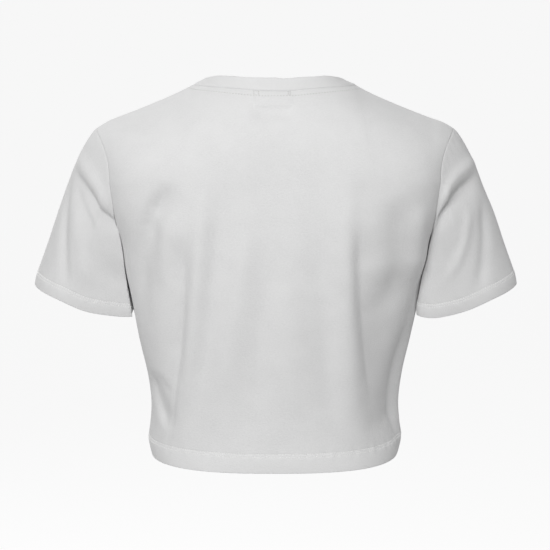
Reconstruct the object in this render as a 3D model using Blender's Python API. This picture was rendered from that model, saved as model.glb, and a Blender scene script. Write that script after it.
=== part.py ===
"""Crop top: a short cotton T-shirt in the hollow, rounded shape that it has when it is worn.

Metres, +Z up. The front faces -Y and the wearer's left is +X. The origin is the middle of the neck,
level with the high points of the two shoulder seams. Six pieces are cut and sewn: a back, a front,
two short set-in sleeves, a rib neckband and a blank label inside the back neck. Each is a thin
closed wall, and the pieces meet at their seams with a small gap.

A panel has two coordinates. "across" runs from -1 at the right edge to 1 at the left edge. "up" runs
from 0 at the hem to 1 at the underarm, 2 at the line across the shoulder blades, where the armhole
is narrowest, and 3 at the shoulder seam and neckline.
"""
import math
from collections import namedtuple

import bpy
import numpy as np

# ---------------------------------------------------------------- driving dimensions
WALL = 0.0016
HEM_WALL = 0.0023
BAND_WALL = 0.0022
LABEL_WALL = 0.0010
SEAM_GAP = 0.0003

BODY_HEM = 0.020
SLEEVE_HEM = 0.016

NECK_HALF_WIDTH = 0.0910
NECK_POINT_Y = -0.0080
NECK_BACK_Y = 0.0555
NECK_FRONT_DROP = 0.0800
NECK_BACK_ROUNDNESS = 2.0
NECK_FRONT_ROUNDNESS = 2.0
BAND_HEIGHT = 0.0148

SHOULDER_TIP_X = 0.2033
SHOULDER_TIP_Y = -0.0120
RIGHT_SHOULDER_SAG = 0.0016

SLEEVE_MOUTH = (0.2206, -0.0280, -0.2508)
SLEEVE_MOUTH_HALF_WIDTH = 0.0630
SLEEVE_MOUTH_HALF_DEPTH = 0.0520
SLEEVE_MOUTH_TILT = math.radians(17.4)
SLEEVE_MOUTH_LEAN = math.radians(3.0)
SLEEVE_ROUNDNESS = 2.15
SLEEVE_INNER_SQUARENESS = 4.4
SLEEVE_GIRTH_RADIUS = 0.060
SLEEVE_LENGTH = 0.150
SLEEVE_CLEARANCE = 0.0014
SLEEVE_SETTLE = 0.0020

# Where each sleeve is tucked against the body behind the underarm, and how far.
TUCK_PLACE = math.radians(140)
TUCK_SPREAD = math.radians(52)
LEFT_TUCK = 0.024
RIGHT_TUCK = 0.005
TUCK_AT_MOUTH = 0.55

LABEL_WIDTH = 0.040
LABEL_HEIGHT = 0.021
LABEL_CENTRE = 0.0033
LABEL_CLEARANCE = 0.0009

# ---------------------------------------------------------------- mesh fineness
NECK_COLUMNS = 9
SHOULDER_COLUMNS = 7
BODY_ROWS = 13
YOKE_ROWS = 9
SLEEVE_ROWS = 13
NECK_SHARE = NECK_COLUMNS / (NECK_COLUMNS + SHOULDER_COLUMNS)
COLUMN_SPREAD = 0.9
CROWDING_AT_UNDERARM = 5.0
CROWDING_AT_BLADES = 2.0

BACK = 1
FRONT = -1

# ---------------------------------------------------------------- sections of the body
# Level sections from the hem to the shoulder blades: the half width at the side, how far the back
# and the front panel stand from the side-seam plane, and how square the rounded section is. Above
# the underarm the sections are whole too, and the armholes are cut out of them.
Level = namedtuple("Level", "z half_width back front squareness")
LEVELS = (
    Level(z=-0.4245, half_width=0.1450, back=0.1124, front=0.1100, squareness=2.50),
    Level(z=-0.4080, half_width=0.1466, back=0.1097, front=0.1085, squareness=2.32),
    Level(z=-0.3890, half_width=0.1445, back=0.1065, front=0.1070, squareness=2.34),
    Level(z=-0.3700, half_width=0.1431, back=0.1045, front=0.1065, squareness=2.37),
    Level(z=-0.3320, half_width=0.1470, back=0.1030, front=0.1090, squareness=2.40),
    Level(z=-0.2940, half_width=0.1554, back=0.1035, front=0.1140, squareness=2.42),
    Level(z=-0.2560, half_width=0.1634, back=0.1045, front=0.1190, squareness=2.50),
    Level(z=-0.2135, half_width=0.1709, back=0.1050, front=0.1210, squareness=2.65),
    Level(z=-0.1720, half_width=0.1770, back=0.1045, front=0.1172, squareness=2.85),
    Level(z=-0.1400, half_width=0.1870, back=0.1020, front=0.1110, squareness=3.00),
    Level(z=-0.1050, half_width=0.1950, back=0.0975, front=0.1020, squareness=3.10),
)

# The lower half of each armhole, from the underarm up to its narrowest place: how far it stands
# from the side-seam plane at each height.
ScyePoint = namedtuple("ScyePoint", "z back front")
SCYE = (
    ScyePoint(z=-0.1720, back=0.00015, front=0.00015),
    ScyePoint(z=-0.1685, back=0.0200, front=0.0220),
    ScyePoint(z=-0.1580, back=0.0355, front=0.0395),
    ScyePoint(z=-0.1420, back=0.0460, front=0.0515),
    ScyePoint(z=-0.1230, back=0.0510, front=0.0580),
    ScyePoint(z=-0.1050, back=0.0525, front=0.0595),
)
HEM_Z = LEVELS[0].z
UNDERARM_Z = SCYE[0].z
BLADES_Z = SCYE[-1].z

# The top of the form seen from the front or back: the shoulder seam from the neck to the tip, and
# inside the neck the line on which the two panels would meet if no neck were cut out of them.
ShoulderPoint = namedtuple("ShoulderPoint", "x z")
SHOULDER = (
    ShoulderPoint(x=0.0000, z=0.0285),
    ShoulderPoint(x=0.0300, z=0.0252),
    ShoulderPoint(x=0.0600, z=0.0152),
    ShoulderPoint(x=0.0910, z=0.0000),
    ShoulderPoint(x=0.1080, z=-0.0086),
    ShoulderPoint(x=0.1310, z=-0.0190),
    ShoulderPoint(x=0.1540, z=-0.0284),
    ShoulderPoint(x=0.1770, z=-0.0374),
    ShoulderPoint(x=0.1885, z=-0.0418),
    ShoulderPoint(x=0.2033, z=-0.0506),
)

# How far the centre of a panel leans in already at the line across the shoulder blades.
BACK_LEAN = math.radians(7)
FRONT_LEAN = math.radians(14)

# How the sleeve leaves the armhole and comes to its mouth, at four places round it: the direction
# and length of the curve's handle at each end.
SleeveLine = namedtuple("SleeveLine", "leave leave_reach arrive arrive_reach")
SLEEVE_TOP = SleeveLine((0.74, 0.00, -0.67), 0.036, (0.37, -0.05, -0.928), 0.082)
SLEEVE_REAR = SleeveLine((0.50, -0.26, -0.82), 0.045, (0.27, -0.10, -0.960), 0.060)
SLEEVE_UNDER = SleeveLine((-0.20, -0.30, -0.930), 0.036, (-0.16, -0.10, -0.980), 0.040)
SLEEVE_FORE = SleeveLine((0.54, 0.10, -0.84), 0.045, (0.27, -0.08, -0.960), 0.060)

# The neckband leans in towards the neck, most at its sides.
BAND_LEAN_BACK = math.radians(23)
BAND_LEAN_SIDE = math.radians(62)
BAND_LEAN_FRONT = math.radians(34)

# A row of the band: its share of the height, how far it bulges, its share of the wall's thickness,
# and how far it has turned from the way the panels face to the way the band faces.
BandRow = namedtuple("BandRow", "height bulge wall own_way")

# ---------------------------------------------------------------- folds
# A fold runs from start past bend to end, (x, z) on a panel. Its height is above the cloth for a
# ridge and below zero for a trough, and it dies away over its width and towards both ends.
Fold = namedtuple("Fold", "start bend end width height")
BACK_FOLDS = (
    Fold(start=(0.104, -0.096), bend=(0.163, -0.142), end=(0.161, -0.240), width=0.0140, height=-0.0066),
    Fold(start=(0.095, -0.120), bend=(0.102, -0.210), end=(0.118, -0.365), width=0.0150, height=-0.0050),
    Fold(start=(0.077, -0.050), bend=(0.087, -0.215), end=(0.107, -0.370), width=0.0130, height=0.0042),
    Fold(start=(0.059, -0.090), bend=(0.071, -0.235), end=(0.090, -0.385), width=0.0150, height=-0.0042),
    Fold(start=(0.030, -0.130), bend=(0.045, -0.245), end=(0.078, -0.385), width=0.0150, height=0.0030),
    Fold(start=(0.002, -0.050), bend=(0.000, -0.140), end=(0.000, -0.270), width=0.0420, height=-0.0030),
    Fold(start=(-0.037, -0.145), bend=(-0.050, -0.260), end=(-0.061, -0.402), width=0.0150, height=-0.0040),
    Fold(start=(-0.084, -0.060), bend=(-0.076, -0.225), end=(-0.096, -0.402), width=0.0150, height=0.0042),
    Fold(start=(-0.092, -0.125), bend=(-0.100, -0.235), end=(-0.126, -0.380), width=0.0180, height=-0.0060),
    Fold(start=(-0.128, -0.190), bend=(-0.131, -0.300), end=(-0.134, -0.410), width=0.0360, height=-0.0125),
    Fold(start=(-0.137, -0.094), bend=(-0.146, -0.165), end=(-0.147, -0.250), width=0.0165, height=-0.0062),
    Fold(start=(0.145, -0.316), bend=(0.137, -0.356), end=(0.120, -0.388), width=0.0110, height=-0.0036),
)
FRONT_FOLDS = (
    Fold(start=(0.118, -0.100), bend=(0.150, -0.118), end=(0.166, -0.205), width=0.015, height=-0.0055),
    Fold(start=(-0.112, -0.100), bend=(-0.148, -0.120), end=(-0.162, -0.210), width=0.016, height=-0.0060),
    Fold(start=(0.070, -0.165), bend=(0.084, -0.280), end=(0.108, -0.400), width=0.018, height=0.0034),
    Fold(start=(-0.076, -0.160), bend=(-0.082, -0.290), end=(-0.098, -0.405), width=0.017, height=0.0036),
    Fold(start=(0.036, -0.230), bend=(0.040, -0.310), end=(0.052, -0.395), width=0.015, height=-0.0028),
    Fold(start=(-0.034, -0.215), bend=(-0.040, -0.300), end=(-0.046, -0.390), width=0.015, height=-0.0030),
    Fold(start=(0.000, -0.130), bend=(0.000, -0.190), end=(0.002, -0.260), width=0.035, height=-0.0024),
    Fold(start=(0.140, -0.340), bend=(0.126, -0.368), end=(0.106, -0.390), width=0.012, height=-0.0038),
    Fold(start=(-0.106, -0.358), bend=(-0.126, -0.372), end=(-0.144, -0.388), width=0.012, height=-0.0036),
)

# On a sleeve a fold's places are (degrees round it, share of its length). 0 degrees is the top, 90
# the back, 180 the underarm and 270 the front.
LEFT_SLEEVE_FOLDS = (
    Fold(start=(8, 0.30), bend=(70, 0.27), end=(140, 0.03), width=0.012, height=-0.0048),
    Fold(start=(8, 0.25), bend=(64, 0.20), end=(112, 0.03), width=0.012, height=0.0026),
    Fold(start=(44, 0.28), bend=(52, 0.62), end=(50, 0.96), width=0.014, height=-0.0032),
    Fold(start=(80, 0.25), bend=(84, 0.55), end=(78, 0.90), width=0.016, height=0.0026),
    Fold(start=(322, 0.16), bend=(280, 0.14), end=(235, 0.10), width=0.012, height=-0.0046),
    Fold(start=(310, 0.30), bend=(302, 0.60), end=(306, 0.94), width=0.015, height=-0.0030),
)
RIGHT_SLEEVE_FOLDS = (
    Fold(start=(14, 0.38), bend=(74, 0.25), end=(142, 0.02), width=0.013, height=-0.0056),
    Fold(start=(10, 0.32), bend=(58, 0.20), end=(118, 0.01), width=0.012, height=0.0034),
    Fold(start=(66, 0.32), bend=(72, 0.55), end=(70, 0.86), width=0.015, height=0.0028),
    Fold(start=(40, 0.36), bend=(46, 0.66), end=(44, 0.96), width=0.013, height=-0.0034),
    Fold(start=(318, 0.12), bend=(276, 0.16), end=(232, 0.20), width=0.013, height=-0.0050),
    Fold(start=(300, 0.30), bend=(296, 0.60), end=(300, 0.92), width=0.016, height=0.0026),
)

# ---------------------------------------------------------------- colours
Cloth = namedtuple("Cloth", "colour roughness")
JERSEY = Cloth(colour=(0.74, 0.74, 0.74, 1.0), roughness=0.92)
RIB = Cloth(colour=(0.75, 0.75, 0.75, 1.0), roughness=0.90)
TAPE = Cloth(colour=(0.80, 0.80, 0.80, 1.0), roughness=0.75)


# ---------------------------------------------------------------- curves and folds
def curve_through(rows, key, column, at):
    """Read a smooth curve through one column of a table, at places along another."""
    places = np.array([getattr(row, key) for row in rows])
    values = np.array([getattr(row, column) for row in rows])
    slopes = np.gradient(values, places)
    low = np.clip(np.searchsorted(places, at) - 1, 0, len(places) - 2)
    span = places[low + 1] - places[low]
    u = (at - places[low]) / span
    return (values[low] * (1 + 2 * u) * (1 - u) ** 2
            + slopes[low] * span * u * (1 - u) ** 2
            + values[low + 1] * u * u * (3 - 2 * u)
            + slopes[low + 1] * span * u * u * (u - 1))


def smooth_step(x):
    """Rise gently from 0 to 1 while x goes from 0 to 1."""
    x = np.clip(x, 0.0, 1.0)
    return x * x * (3 - 2 * x)


def unit(vectors):
    """Scale vectors to length one."""
    return vectors / np.linalg.norm(vectors, axis=-1, keepdims=True)


def fold_relief(folds, across, down, scale=(1.0, 1.0)):
    """Add up the heights that the folds give the cloth at the given places."""
    relief = np.zeros_like(across)
    for fold in folds:
        start, bend, end = (np.array(point) * scale for point in (fold.start, fold.bend, fold.end))
        control = 2 * bend - (start + end) / 2
        steps = np.linspace(0.0, 1.0, 13)[:, None]
        path = start * (1 - steps) ** 2 + control * 2 * steps * (1 - steps) + end * steps ** 2
        nearest = np.full_like(across, np.inf)
        along = np.zeros_like(across)
        for i in range(len(path) - 1):
            leg = path[i + 1] - path[i]
            share = ((across - path[i, 0]) * leg[0] + (down - path[i, 1]) * leg[1]) / (leg @ leg)
            share = np.clip(share, 0.0, 1.0)
            distance = np.hypot(across - path[i, 0] - share * leg[0],
                                down - path[i, 1] - share * leg[1])
            along = np.where(distance < nearest, (i + share) / (len(path) - 1), along)
            nearest = np.minimum(distance, nearest)
        fade = smooth_step(along / 0.3) * smooth_step((1 - along) / 0.3)
        relief += fold.height * fade * np.exp(-(nearest / fold.width) ** 2)
    return relief


# ---------------------------------------------------------------- body panels
def section_point(angle, half_width, depth, squareness):
    """Point on a rounded section, at an angle from its centre line."""
    reach = ((np.abs(np.sin(angle)) / half_width) ** squareness
             + (np.abs(np.cos(angle)) / depth) ** squareness) ** (-1 / squareness)
    return reach * np.sin(angle), reach * np.cos(angle)


def section_side(y, half_width, depth, squareness):
    """Half width of a rounded section at a distance from its middle plane."""
    share = np.clip(np.abs(y) / depth, 0.0, 0.99)
    return half_width * (1 - share ** squareness) ** (1 / squareness)


def section_at(side, z):
    """Half width, depth and squareness of the body on one side at a height."""
    depth = curve_through(LEVELS, "z", "back" if side == BACK else "front", z)
    return curve_through(LEVELS, "z", "half_width", z), depth, curve_through(LEVELS, "z", "squareness", z)


def level_point(side, across, up):
    """Point on a panel between the hem and the shoulder blades, where every row is level."""
    z = np.where(up < 1, HEM_Z + (UNDERARM_Z - HEM_Z) * up,
                 UNDERARM_Z + (BLADES_Z - UNDERARM_Z) * (up - 1))
    section = section_at(side, z)
    scye_y = curve_through(SCYE, "z", "back" if side == BACK else "front", np.maximum(z, UNDERARM_Z))
    edge_y = np.where(up <= 1, SEAM_GAP / 2, scye_y)
    share = np.abs(across)
    cut_away = math.pi / 2 - np.arctan2(section_side(edge_y, *section), edge_y)
    crowding = CROWDING_AT_UNDERARM + (CROWDING_AT_BLADES - CROWDING_AT_UNDERARM) * np.clip(up - 1, 0, 1)
    angle = np.sign(across) * (math.pi / 2 * share ** COLUMN_SPREAD - cut_away * share ** crowding)
    x, y = section_point(angle, *section)
    return np.stack([x, side * y, z], axis=-1)


def ridge_point(side, across):
    """Point on the top line of the form, where the back and the front meet."""
    share = np.abs(across)
    neck = NECK_SHARE
    bend = (SHOULDER_TIP_X - NECK_HALF_WIDTH / neck) / (1 - neck ** 2)
    x = (SHOULDER_TIP_X - bend) * share + bend * share ** 3
    out = (x - NECK_HALF_WIDTH) / (SHOULDER_TIP_X - NECK_HALF_WIDTH)
    y = NECK_POINT_Y + (SHOULDER_TIP_Y - NECK_POINT_Y) * np.maximum(out, 0.0) + side * SEAM_GAP / 2
    z = curve_through(SHOULDER, "x", "z", x)
    right = np.where(across < 0, 1.0, 0.0)
    z -= RIGHT_SHOULDER_SAG * right * smooth_step(out / 0.2 + 0.5) * smooth_step((1 - out) / 0.25)
    return np.stack([x * np.sign(across), y, z], axis=-1)


def lean_at(side, across):
    """How far a column of the panel leans in at the line across the shoulder blades."""
    return (BACK_LEAN if side == BACK else FRONT_LEAN) * (1 - smooth_step(np.abs(across)))


def form_point(side, across, up):
    """Point on the smooth form of the back or the front, as if no neck were cut out of it."""
    below = level_point(side, across, np.minimum(up, 2.0))
    ridge = ridge_point(side, across)
    lean = lean_at(side, across)
    turn = lean + (math.pi / 2 - lean) * np.maximum(up - 2.0, 0.0)
    rise = (np.sin(turn) - np.sin(lean)) / (1 - np.sin(lean))
    run = (np.cos(lean) - np.cos(turn)) / np.cos(lean)
    spread = np.abs(rise) ** 2.5
    x = below[..., 0] + (ridge[..., 0] - below[..., 0]) * spread
    y = below[..., 1] + (ridge[..., 1] - below[..., 1]) * run
    z = below[..., 2] + (ridge[..., 2] - below[..., 2]) * rise
    return np.stack([x, y, z], axis=-1)


def neckline_height(side, across):
    """How far up the form the neckline crosses it. Outside the neck it is the shoulder seam, at 3."""
    blades = level_point(side, across, np.full_like(across, 2.0))
    ridge = ridge_point(side, across)
    lean = lean_at(side, across)
    share = np.clip(np.abs(ridge[..., 0]) / NECK_HALF_WIDTH, 0.0, 1.0)
    if side == BACK:
        power = NECK_BACK_ROUNDNESS
        bow = (1 - share ** power) ** (1 / power)
        neck_y = ridge[..., 1] + (NECK_BACK_Y - ridge[..., 1]) * bow
        run = (neck_y - blades[..., 1]) / (ridge[..., 1] - blades[..., 1])
        turn = np.arccos(np.clip(np.cos(lean) * (1 - run), 0.0, 1.0))
    else:
        power = NECK_FRONT_ROUNDNESS
        bow = (1 - share ** power) ** (1 / power)
        neck_z = ridge[..., 2] * (1 - bow) - NECK_FRONT_DROP * bow
        rise = (neck_z - blades[..., 2]) / (ridge[..., 2] - blades[..., 2])
        turn = np.arcsin(np.clip(np.sin(lean) + (1 - np.sin(lean)) * rise, 0.0, 1.0))
    return np.where(share < 1, 2 + (turn - lean) / (math.pi / 2 - lean), 3.0)


def panel_place(side, across, up):
    """Turn a place in the cut panel into a place on the whole form.

    Towards the neckline the columns spread, so that they stand evenly round it.
    """
    neck = NECK_SHARE
    fanned = np.sign(across) * neck * np.sin(np.clip(np.abs(across) / neck, 0.0, 1.0) * math.pi / 2)
    fanned = np.where(np.abs(across) < neck, fanned, across)
    yoke = np.clip(up - 2.0, 0.0, 1.0)
    place = across + (fanned - across) * yoke
    height = np.where(up <= 2, up, 2 + (neckline_height(side, place) - 2) * yoke)
    return place, height


def panel_normal(side, across, up):
    """Direction straight out of the plain form of a body panel."""
    step = 1e-4
    along_across = form_point(side, across + step, up) - form_point(side, across - step, up)
    along_up = form_point(side, across, up + step) - form_point(side, across, up - step)
    return unit(np.cross(along_up, along_across) * side)


def panel_surface(side, across, up):
    """Outer points of a body panel with its folds, and the direction out of it."""
    place, height = panel_place(side, across, up)
    points = form_point(side, place, height)
    normals = panel_normal(side, place, height)
    folds = BACK_FOLDS if side == BACK else FRONT_FOLDS
    relief = fold_relief(folds, points[..., 0], points[..., 2])
    held = smooth_step((1 - np.abs(across)) / 0.14) * smooth_step((3 - up) / 0.35)
    return points + normals * (relief * held)[..., None], normals


def panel_columns():
    """Places across a panel, from its right edge to its left."""
    neck = [NECK_SHARE * i / NECK_COLUMNS for i in range(NECK_COLUMNS)]
    shoulder = [NECK_SHARE + (1 - NECK_SHARE) * i / SHOULDER_COLUMNS for i in range(SHOULDER_COLUMNS + 1)]
    half = neck + shoulder
    return np.array([-place for place in reversed(half[1:])] + half)


def scye_rows():
    """Places up a panel from the underarm to the shoulder seam, as many as the armhole has points."""
    lower = [1 + (point.z - UNDERARM_Z) / (BLADES_Z - UNDERARM_Z) for point in SCYE[:-1]]
    upper = [2 + i / YOKE_ROWS for i in range(YOKE_ROWS + 1)]
    return lower + upper


def panel_rows():
    """Places up a panel, from the hem to the shoulder seam."""
    body_height = UNDERARM_Z - HEM_Z
    turn_up = BODY_HEM / body_height
    step_up = (BODY_HEM + 0.002) / body_height
    body = [step_up + (1 - step_up) * i / BODY_ROWS for i in range(BODY_ROWS)]
    return np.array([0.0, turn_up / 2, turn_up] + body + scye_rows())


# ---------------------------------------------------------------- sleeves
def armhole(rows):
    """Armhole of the left side as a loop from the shoulder tip down the back and up the front."""
    up = np.array(rows)
    edge = np.ones_like(up)
    rear = form_point(BACK, edge, up)[::-1]
    fore = form_point(FRONT, edge, up)
    rear_out = panel_normal(BACK, edge, up)[::-1]
    fore_out = panel_normal(FRONT, edge, up)
    tip, underarm = (rear[0] + fore[-1]) / 2, (rear[-1] + fore[0]) / 2
    loop = np.vstack([tip, rear[1:-1], underarm, fore[1:-1]])
    out = np.vstack([rear_out[0], rear_out[1:-1], rear_out[-1], fore_out[1:-1]])
    rear_length = np.cumsum(np.linalg.norm(np.diff(rear, axis=0), axis=1))
    fore_length = np.cumsum(np.linalg.norm(np.diff(fore, axis=0), axis=1))
    angles = np.concatenate([[0.0], rear_length / rear_length[-1] * math.pi,
                             math.pi + fore_length[:-1] / fore_length[-1] * math.pi])
    return loop, out, angles


def round_sleeve(angles, column):
    """Blend one column of the four sleeve lines round the sleeve."""
    value = [np.array(getattr(line, column), dtype=float)
             for line in (SLEEVE_TOP, SLEEVE_REAR, SLEEVE_UNDER, SLEEVE_FORE)]
    top, rear, under, fore = (np.atleast_1d(item) for item in value)
    upright = np.where(np.cos(angles) > 0, 1.0, 0.0)[:, None]
    rearward = np.where(np.sin(angles) > 0, 1.0, 0.0)[:, None]
    ends = top * upright + under * (1 - upright)
    sides = rear * rearward + fore * (1 - rearward)
    share = (np.sin(angles) ** 2)[:, None]
    return ends * (1 - share) + sides * share


def sleeve_mouth(angles):
    """Ring of points at the sleeve's hem edge."""
    power = (SLEEVE_ROUNDNESS
             + (SLEEVE_INNER_SQUARENESS - SLEEVE_ROUNDNESS) * np.clip(-np.cos(angles), 0.0, 1.0) ** 0.5)
    reach = ((np.abs(np.cos(angles)) / SLEEVE_MOUTH_HALF_WIDTH) ** power
             + (np.abs(np.sin(angles)) / SLEEVE_MOUTH_HALF_DEPTH) ** power) ** (-1 / power)
    outward = np.array([math.cos(SLEEVE_MOUTH_TILT), 0.0, math.sin(SLEEVE_MOUTH_TILT)])
    rearward = np.array([0.0, math.cos(SLEEVE_MOUTH_LEAN), -math.sin(SLEEVE_MOUTH_LEAN)])
    return (np.array(SLEEVE_MOUTH) + (reach * np.cos(angles))[:, None] * outward
            + (reach * np.sin(angles))[:, None] * rearward)


def beside_body(points, clearance):
    """Hold the sleeve's points off the side of the body, where the sleeve would lie against it."""
    z = np.clip(points[..., 2], HEM_Z, UNDERARM_Z)
    y = points[..., 1]
    nearest = clearance + np.where(y > 0, section_side(y, *section_at(BACK, z)),
                                   section_side(y, *section_at(FRONT, z)))
    settle = SLEEVE_SETTLE * clearance / SLEEVE_CLEARANCE
    x = (points[..., 0] + nearest + np.sqrt((points[..., 0] - nearest) ** 2 + settle ** 2)) / 2
    held = points.copy()
    held[..., 0] = np.where(points[..., 2] < UNDERARM_Z + 0.002, x, points[..., 0])
    return held


def tucked_in(points, angles, w, tuck):
    """Draw the sleeve's rear inner side in towards the body, by up to the length of the tuck."""
    off_place = np.abs(angles - TUCK_PLACE) / TUCK_SPREAD
    rear_inner = np.where(off_place < 1, np.cos(np.minimum(off_place, 1.0) * math.pi / 2) ** 2, 0.0)
    held_in = smooth_step((UNDERARM_Z - 0.006 - points[..., 2]) / 0.030)
    held_in *= 1 - (1 - TUCK_AT_MOUTH) * smooth_step((w - 0.75) / 0.25)
    shift = tuck * rear_inner * held_in
    return points - np.stack([shift, 0 * shift, shift * math.tan(SLEEVE_MOUTH_TILT) * w], axis=-1)


def sleeve_surface(rows, lengths, folds, tuck):
    """Outer points of the left sleeve, one ring for each share of its length, and its normals."""
    loop, out, angles = armhole(rows)
    leave = unit(round_sleeve(angles, "leave"))
    arrive = unit(round_sleeve(angles, "arrive"))
    edge = unit(np.roll(loop, -1, axis=0) - np.roll(loop, 1, axis=0))
    clear = leave - edge * np.sum(leave * edge, axis=-1, keepdims=True)
    underside = (np.sin(angles / 2) ** 6)[:, None]
    start = loop + SEAM_GAP * unit(unit(clear) + out * underside)
    mouth = sleeve_mouth(angles)
    first = start + leave * round_sleeve(angles, "leave_reach")
    last = mouth - arrive * round_sleeve(angles, "arrive_reach")
    w = np.asarray(lengths)[:, None, None]
    points = (start * (1 - w) ** 3 + first * 3 * w * (1 - w) ** 2
              + last * 3 * w * w * (1 - w) + mouth * w ** 3)
    along = ((first - start) * 3 * (1 - w) ** 2 + (last - first) * 6 * w * (1 - w)
             + (mouth - last) * 3 * w * w)
    around = np.roll(points, -1, axis=1) - np.roll(points, 1, axis=1)
    normals = unit(np.cross(along, around))
    place = np.broadcast_to(np.degrees(angles), points.shape[:2])
    length = np.broadcast_to(w[..., 0], points.shape[:2])
    points = tucked_in(points, angles, length, tuck)
    points = beside_body(points, SLEEVE_CLEARANCE * smooth_step(length / 0.12))
    girth_scale = (math.radians(1) * SLEEVE_GIRTH_RADIUS, SLEEVE_LENGTH)
    relief = fold_relief(folds, place * girth_scale[0], length * girth_scale[1], girth_scale)
    held = smooth_step(length / 0.22)
    return points + normals * (relief * held)[..., None], normals


# ---------------------------------------------------------------- neckband
def neck_loop():
    """Neckline as a loop, across the back and then the front, and the direction out of the cloth."""
    neck = panel_columns()
    neck = neck[np.abs(neck) <= NECK_SHARE + 1e-9]
    top = np.full_like(neck, 3.0)
    rear_place = panel_place(BACK, neck, top)
    fore_place = panel_place(FRONT, neck, top)
    rear, fore = form_point(BACK, *rear_place), form_point(FRONT, *fore_place)[::-1]
    rear_out, fore_out = panel_normal(BACK, *rear_place), panel_normal(FRONT, *fore_place)[::-1]
    loop = np.vstack([(rear[0] + fore[-1]) / 2, rear[1:-1], (rear[-1] + fore[0]) / 2, fore[1:-1]])
    out = np.vstack([rear_out[0] + fore_out[-1], rear_out[1:-1], rear_out[-1] + fore_out[0],
                     fore_out[1:-1]])
    return loop, unit(out)


def band_directions(loop):
    """Direction up the neckband at each point of the neckline."""
    centre_y = (loop[:, 1].max() + loop[:, 1].min()) / 2
    half_depth = (loop[:, 1].max() - loop[:, 1].min()) / 2
    place = np.stack([loop[:, 0] / NECK_HALF_WIDTH, (loop[:, 1] - centre_y) / half_depth], axis=-1)
    place = unit(place)
    ends = np.where(place[:, 1] > 0, BAND_LEAN_BACK, BAND_LEAN_FRONT)
    lean = ends + (BAND_LEAN_SIDE - ends) * place[:, 0] ** 4
    inward = -place * np.sin(lean)[:, None]
    return np.column_stack([inward, np.cos(lean)])


# ---------------------------------------------------------------- solids
def make_object(name, corners, faces, cloth):
    """Make one closed, smooth-shaded piece with its own material."""
    mesh = bpy.data.meshes.new(name)
    mesh.from_pydata([tuple(corner) for corner in corners], [], faces)
    mesh.validate()
    mesh.shade_smooth()
    mesh.set_sharp_from_angle(angle=math.radians(50))
    material = bpy.data.materials.new(name)
    material.use_nodes = True
    shader = material.node_tree.nodes["Principled BSDF"]
    shader.inputs["Base Color"].default_value = cloth.colour
    shader.inputs["Roughness"].default_value = cloth.roughness
    shader.inputs["Metallic"].default_value = 0.0
    mesh.materials.append(material)
    piece = bpy.data.objects.new(name, mesh)
    bpy.context.scene.collection.objects.link(piece)
    return piece


def wall_faces(rows, columns, ring):
    """Quads of a wall: its outer side, its inner side and the edges that close it."""
    count = rows * columns

    def outer(row, column):
        return row * columns + column % columns

    def inner(row, column):
        return count + outer(row, column)

    faces = []
    steps = columns if ring else columns - 1
    for row in range(rows - 1):
        for column in range(steps):
            a, b = outer(row, column), outer(row, column + 1)
            c, d = outer(row + 1, column + 1), outer(row + 1, column)
            faces.append((a, b, c, d))
            faces.append((d + count, c + count, b + count, a + count))
    for column in range(steps):
        faces.append((inner(0, column), inner(0, column + 1), outer(0, column + 1), outer(0, column)))
        last = rows - 1
        faces.append((outer(last, column), outer(last, column + 1),
                      inner(last, column + 1), inner(last, column)))
    if not ring:
        for row in range(rows - 1):
            faces.append((outer(row, 0), outer(row + 1, 0), inner(row + 1, 0), inner(row, 0)))
            end = columns - 1
            faces.append((inner(row, end), inner(row + 1, end), outer(row + 1, end), outer(row, end)))
    return faces


def make_wall(name, outer_points, inner_points, ring, cloth, turned=False):
    """Make a closed wall between two grids of points."""
    rows, columns = outer_points.shape[:2]
    faces = wall_faces(rows, columns, ring)
    if turned:
        faces = [tuple(reversed(face)) for face in faces]
    corners = np.vstack([outer_points.reshape(-1, 3), inner_points.reshape(-1, 3)])
    return make_object(name, corners, faces, cloth)


def hem_thickness(height, hem):
    """Thickness of the cloth at a height above the hem edge, where the turn-up doubles it."""
    return np.where(height <= hem + 1e-6, HEM_WALL, WALL)


def make_panel(name, side):
    """Cut and shape the back or the front."""
    across, up = np.meshgrid(panel_columns(), panel_rows())
    outer_points, normals = panel_surface(side, across, up)
    height = up * (UNDERARM_Z - HEM_Z)
    thickness = hem_thickness(height, BODY_HEM)
    inner_points = outer_points - normals * thickness[..., None]
    return make_wall(name, outer_points, inner_points, False, JERSEY, turned=side == BACK)


def make_sleeve(name, mirror, folds, tuck):
    """Cut and shape one sleeve; the right one is the mirror of the left with its own folds."""
    turn_up = 1 - SLEEVE_HEM / SLEEVE_LENGTH
    step_up = turn_up - 0.002 / SLEEVE_LENGTH
    lengths = [step_up * i / SLEEVE_ROWS for i in range(SLEEVE_ROWS + 1)]
    lengths = np.array(lengths + [turn_up, (1 + turn_up) / 2, 1.0])
    outer_points, normals = sleeve_surface(scye_rows(), lengths, folds, tuck)
    thickness = np.where(lengths >= turn_up - 1e-9, HEM_WALL, WALL)[:, None, None]
    inner_points = outer_points - normals * thickness
    flip = np.array([mirror, 1.0, 1.0])
    return make_wall(name, outer_points * flip, inner_points * flip, True, JERSEY, turned=mirror > 0)


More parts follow.
